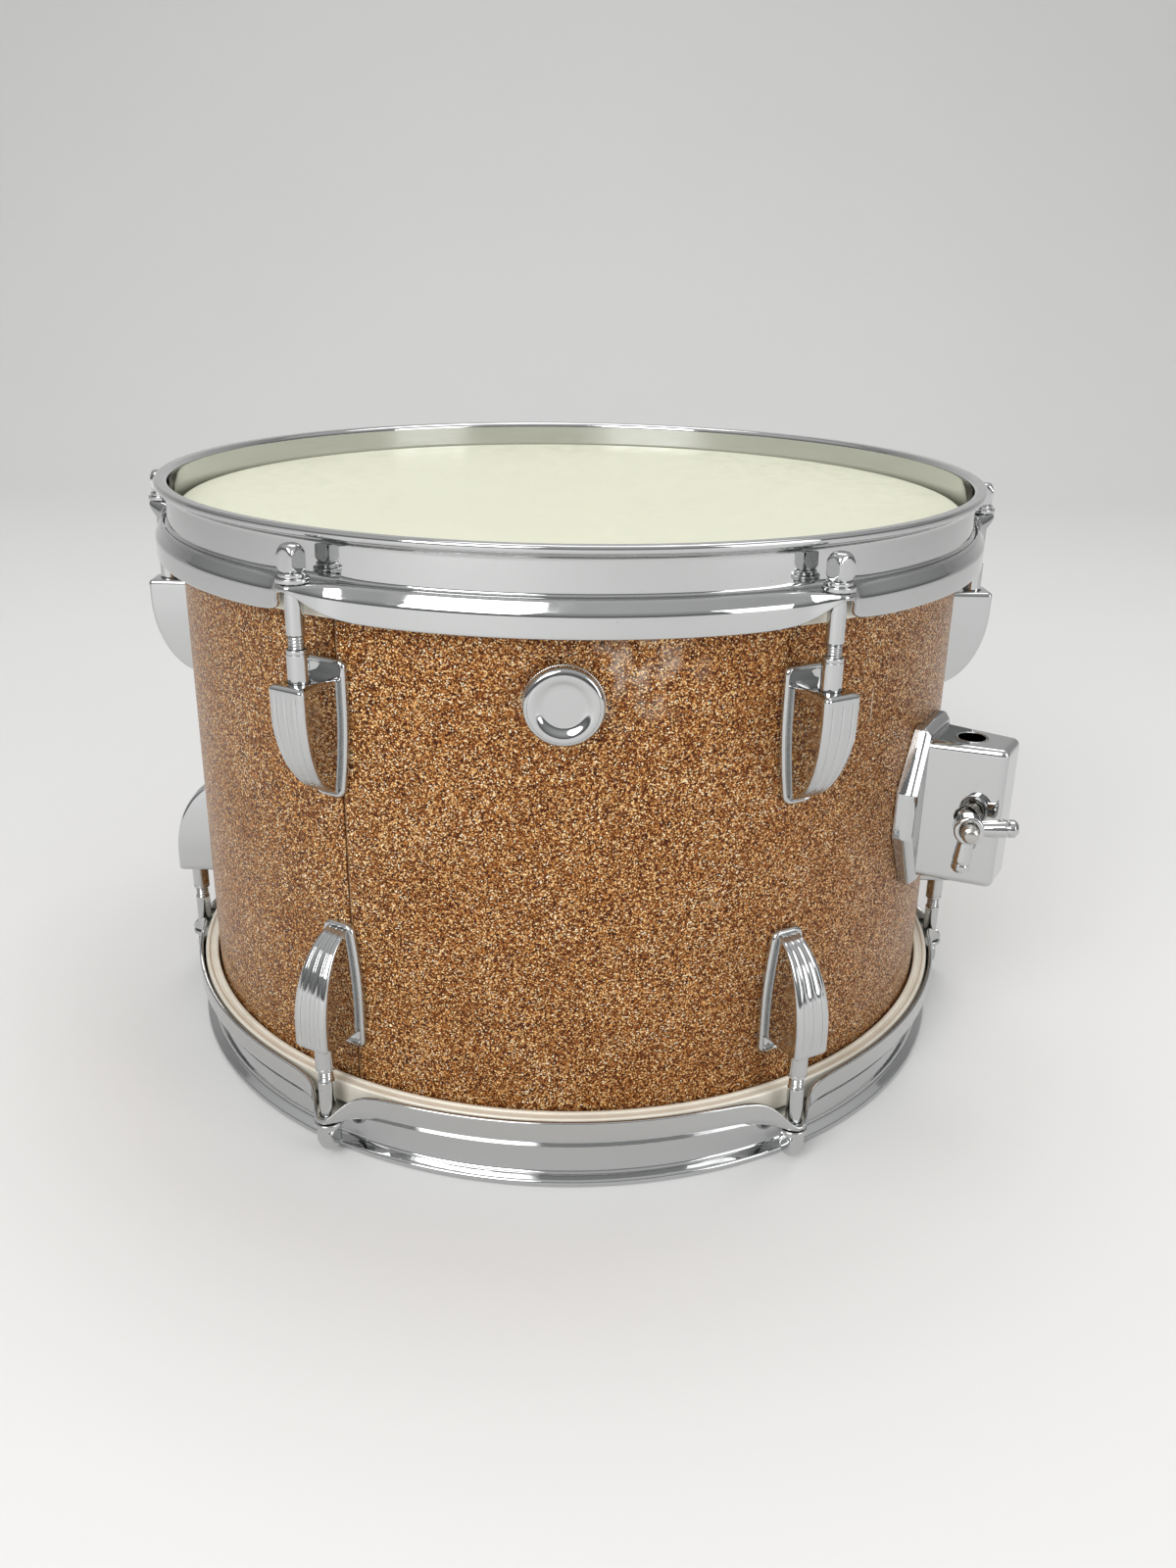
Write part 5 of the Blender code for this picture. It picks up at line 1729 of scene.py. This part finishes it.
@dataclass
class Studio:
    """The camera at the photograph's angle, a pale sweep to stand on, and soft lamps.

    A lamp is (place, size, watts), and each one faces the drum's middle.
    """

    lens: float = 30.16
    sensor_height: float = 36.0
    place: tuple[float, float, float] = (0.00619, -0.53454, 0.29952)
    yaw: float = 0.219
    down: float = 21.54
    roll: float = 0.941
    middle: tuple[float, float, float] = (0.0, 0.0, 0.11)
    half_floor: float = 4.0
    bend_start: float = 1.3
    bend_radius: float = 0.9
    backdrop_top: float = 3.2
    low_grey: tuple[float, float, float] = (0.16, 0.16, 0.165)
    high_grey: tuple[float, float, float] = (0.62, 0.62, 0.62)
    lamps: tuple[tuple[str, tuple, tuple, float], ...] = (
        ("key_lamp", (-0.8, -1.6, 1.25), (1.1, 1.1), 24.0),
        ("fill_lamp", (1.5, -1.2, 0.7), (0.9, 1.2), 9.0),
        ("top_lamp", (0.2, 0.5, 1.9), (1.4, 0.8), 11.0))

    def camera(self) -> None:
        """Sets the camera: X = right cos r + up sin r, Y = up cos r - right sin r, Z = -forward."""
        yaw, down, roll = (math.radians(value) for value in (self.yaw, self.down, self.roll))
        forward = Vector((math.sin(yaw) * math.cos(down), math.cos(yaw) * math.cos(down),
                          -math.sin(down)))
        right = Vector((math.cos(yaw), -math.sin(yaw), 0.0))
        up = right.cross(forward)
        across = right * math.cos(roll) + up * math.sin(roll)
        over = up * math.cos(roll) - right * math.sin(roll)
        data = bpy.data.cameras.new("camera")
        data.sensor_fit, data.sensor_height, data.lens = "VERTICAL", self.sensor_height, self.lens
        data.clip_start = 0.01
        camera = bpy.data.objects.new("camera", data)
        turned_to = Matrix((across, over, -forward)).transposed()
        camera.matrix_world = Matrix.Translation(self.place) @ turned_to.to_4x4()
        bpy.context.scene.collection.objects.link(camera)
        bpy.context.scene.camera = camera

    def sweep(self) -> None:
        """Adds the floor, which curves up into a backdrop: (y, z) = (d + r sin t, r - r cos t)."""
        bend, start, radius = np.linspace(0.0, np.pi / 2, 24), self.bend_start, self.bend_radius
        far = self.half_floor
        y = np.concatenate([[-far, -0.6, 0.6], start + radius * np.sin(bend), [start + radius]])
        z = np.concatenate([np.zeros(3), radius - radius * np.cos(bend), [self.backdrop_top]])
        x = np.array([-far, -1.0, 1.0, far])[:, None]
        grid = np.stack([x + 0 * y, y + 0 * x, z + 0 * x], -1)
        surface = lattice(grid, close_columns=False)
        mesh = bpy.data.meshes.new("sweep")
        mesh.from_pydata(surface.points, [], surface.faces[:, ::-1].tolist())
        mesh.shade_smooth()
        graph = Graph("pale_paper")
        tone = graph.mix(graph.noise(3.0, 4.0), (0.80, 0.80, 0.79, 1.0), (0.77, 0.77, 0.765, 1.0))
        grain = graph.bump(graph.noise(900.0), 0.1, 0.0002)
        mesh.materials.append(graph.finish(Base_Color=tone, Roughness=0.8, Normal=grain))
        floor = bpy.data.objects.new("studio_sweep", mesh)
        bpy.context.scene.collection.objects.link(floor)

    def lamp(self, name: str, place: tuple[float, float, float], size: tuple[float, float],
             watts: float) -> None:
        """Adds a soft lamp that faces the drum.

        Args:
            name: The lamp's name.
            place: Where it stands.
            size: Its width and height.
            watts: Its power.
        """
        data = bpy.data.lights.new(name, "AREA")
        data.shape, data.size, data.size_y, data.energy = "RECTANGLE", *size, watts
        lamp = bpy.data.objects.new(name, data)
        towards = Vector(self.middle) - Vector(place)
        aim = towards.to_track_quat("-Z", "Y").to_matrix().to_4x4()
        lamp.matrix_world = Matrix.Translation(place) @ aim
        bpy.context.scene.collection.objects.link(lamp)

    def world(self) -> None:
        """Sets the room, which lights the drum from all round: dim low down, paler overhead."""
        world = bpy.data.worlds.new("room")
        world.use_nodes = True
        bpy.context.scene.world = world
        tree = world.node_tree
        shade = tree.nodes["Background"]
        place = tree.nodes.new("ShaderNodeTexCoord")
        split = tree.nodes.new("ShaderNodeSeparateXYZ")
        ramp = tree.nodes.new("ShaderNodeValToRGB")
        tree.links.new(place.outputs["Generated"], split.inputs[0])
        tree.links.new(split.outputs[2], ramp.inputs[0])
        tree.links.new(ramp.outputs[0], shade.inputs[0])
        low, high = ramp.color_ramp.elements
        low.position, low.color = 0.02, (*self.low_grey, 1.0)
        high.position, high.color = 0.75, (*self.high_grey, 1.0)
        shade.inputs[1].default_value = 1.0

    def build(self) -> None:
        """Sets up the camera, the sweep, the lamps and the room."""
        self.camera()
        self.sweep()
        for lamp in self.lamps:
            self.lamp(*lamp)
        self.world()
        bpy.context.scene.view_settings.view_transform = "Standard"


def main() -> None:
    """Builds the studio and every piece."""
    logging.basicConfig(level=logging.INFO, format="%(message)s")
    Studio().build()
    shop = Workshop(Finishes())
    Shell().build(shop)
    for side in Side:
        Head(side).build(shop)
    PressedHoop().build(shop)
    lug = Lug()
    lug.build(shop)
    Tuning(lug).build(shop)
    Muffler().build(shop)
    Bracket().build(shop)
    LOG.info("%d pieces", len(shop.pieces))
    bpy.context.view_layer.update()


if __name__ == "__main__":
    main()
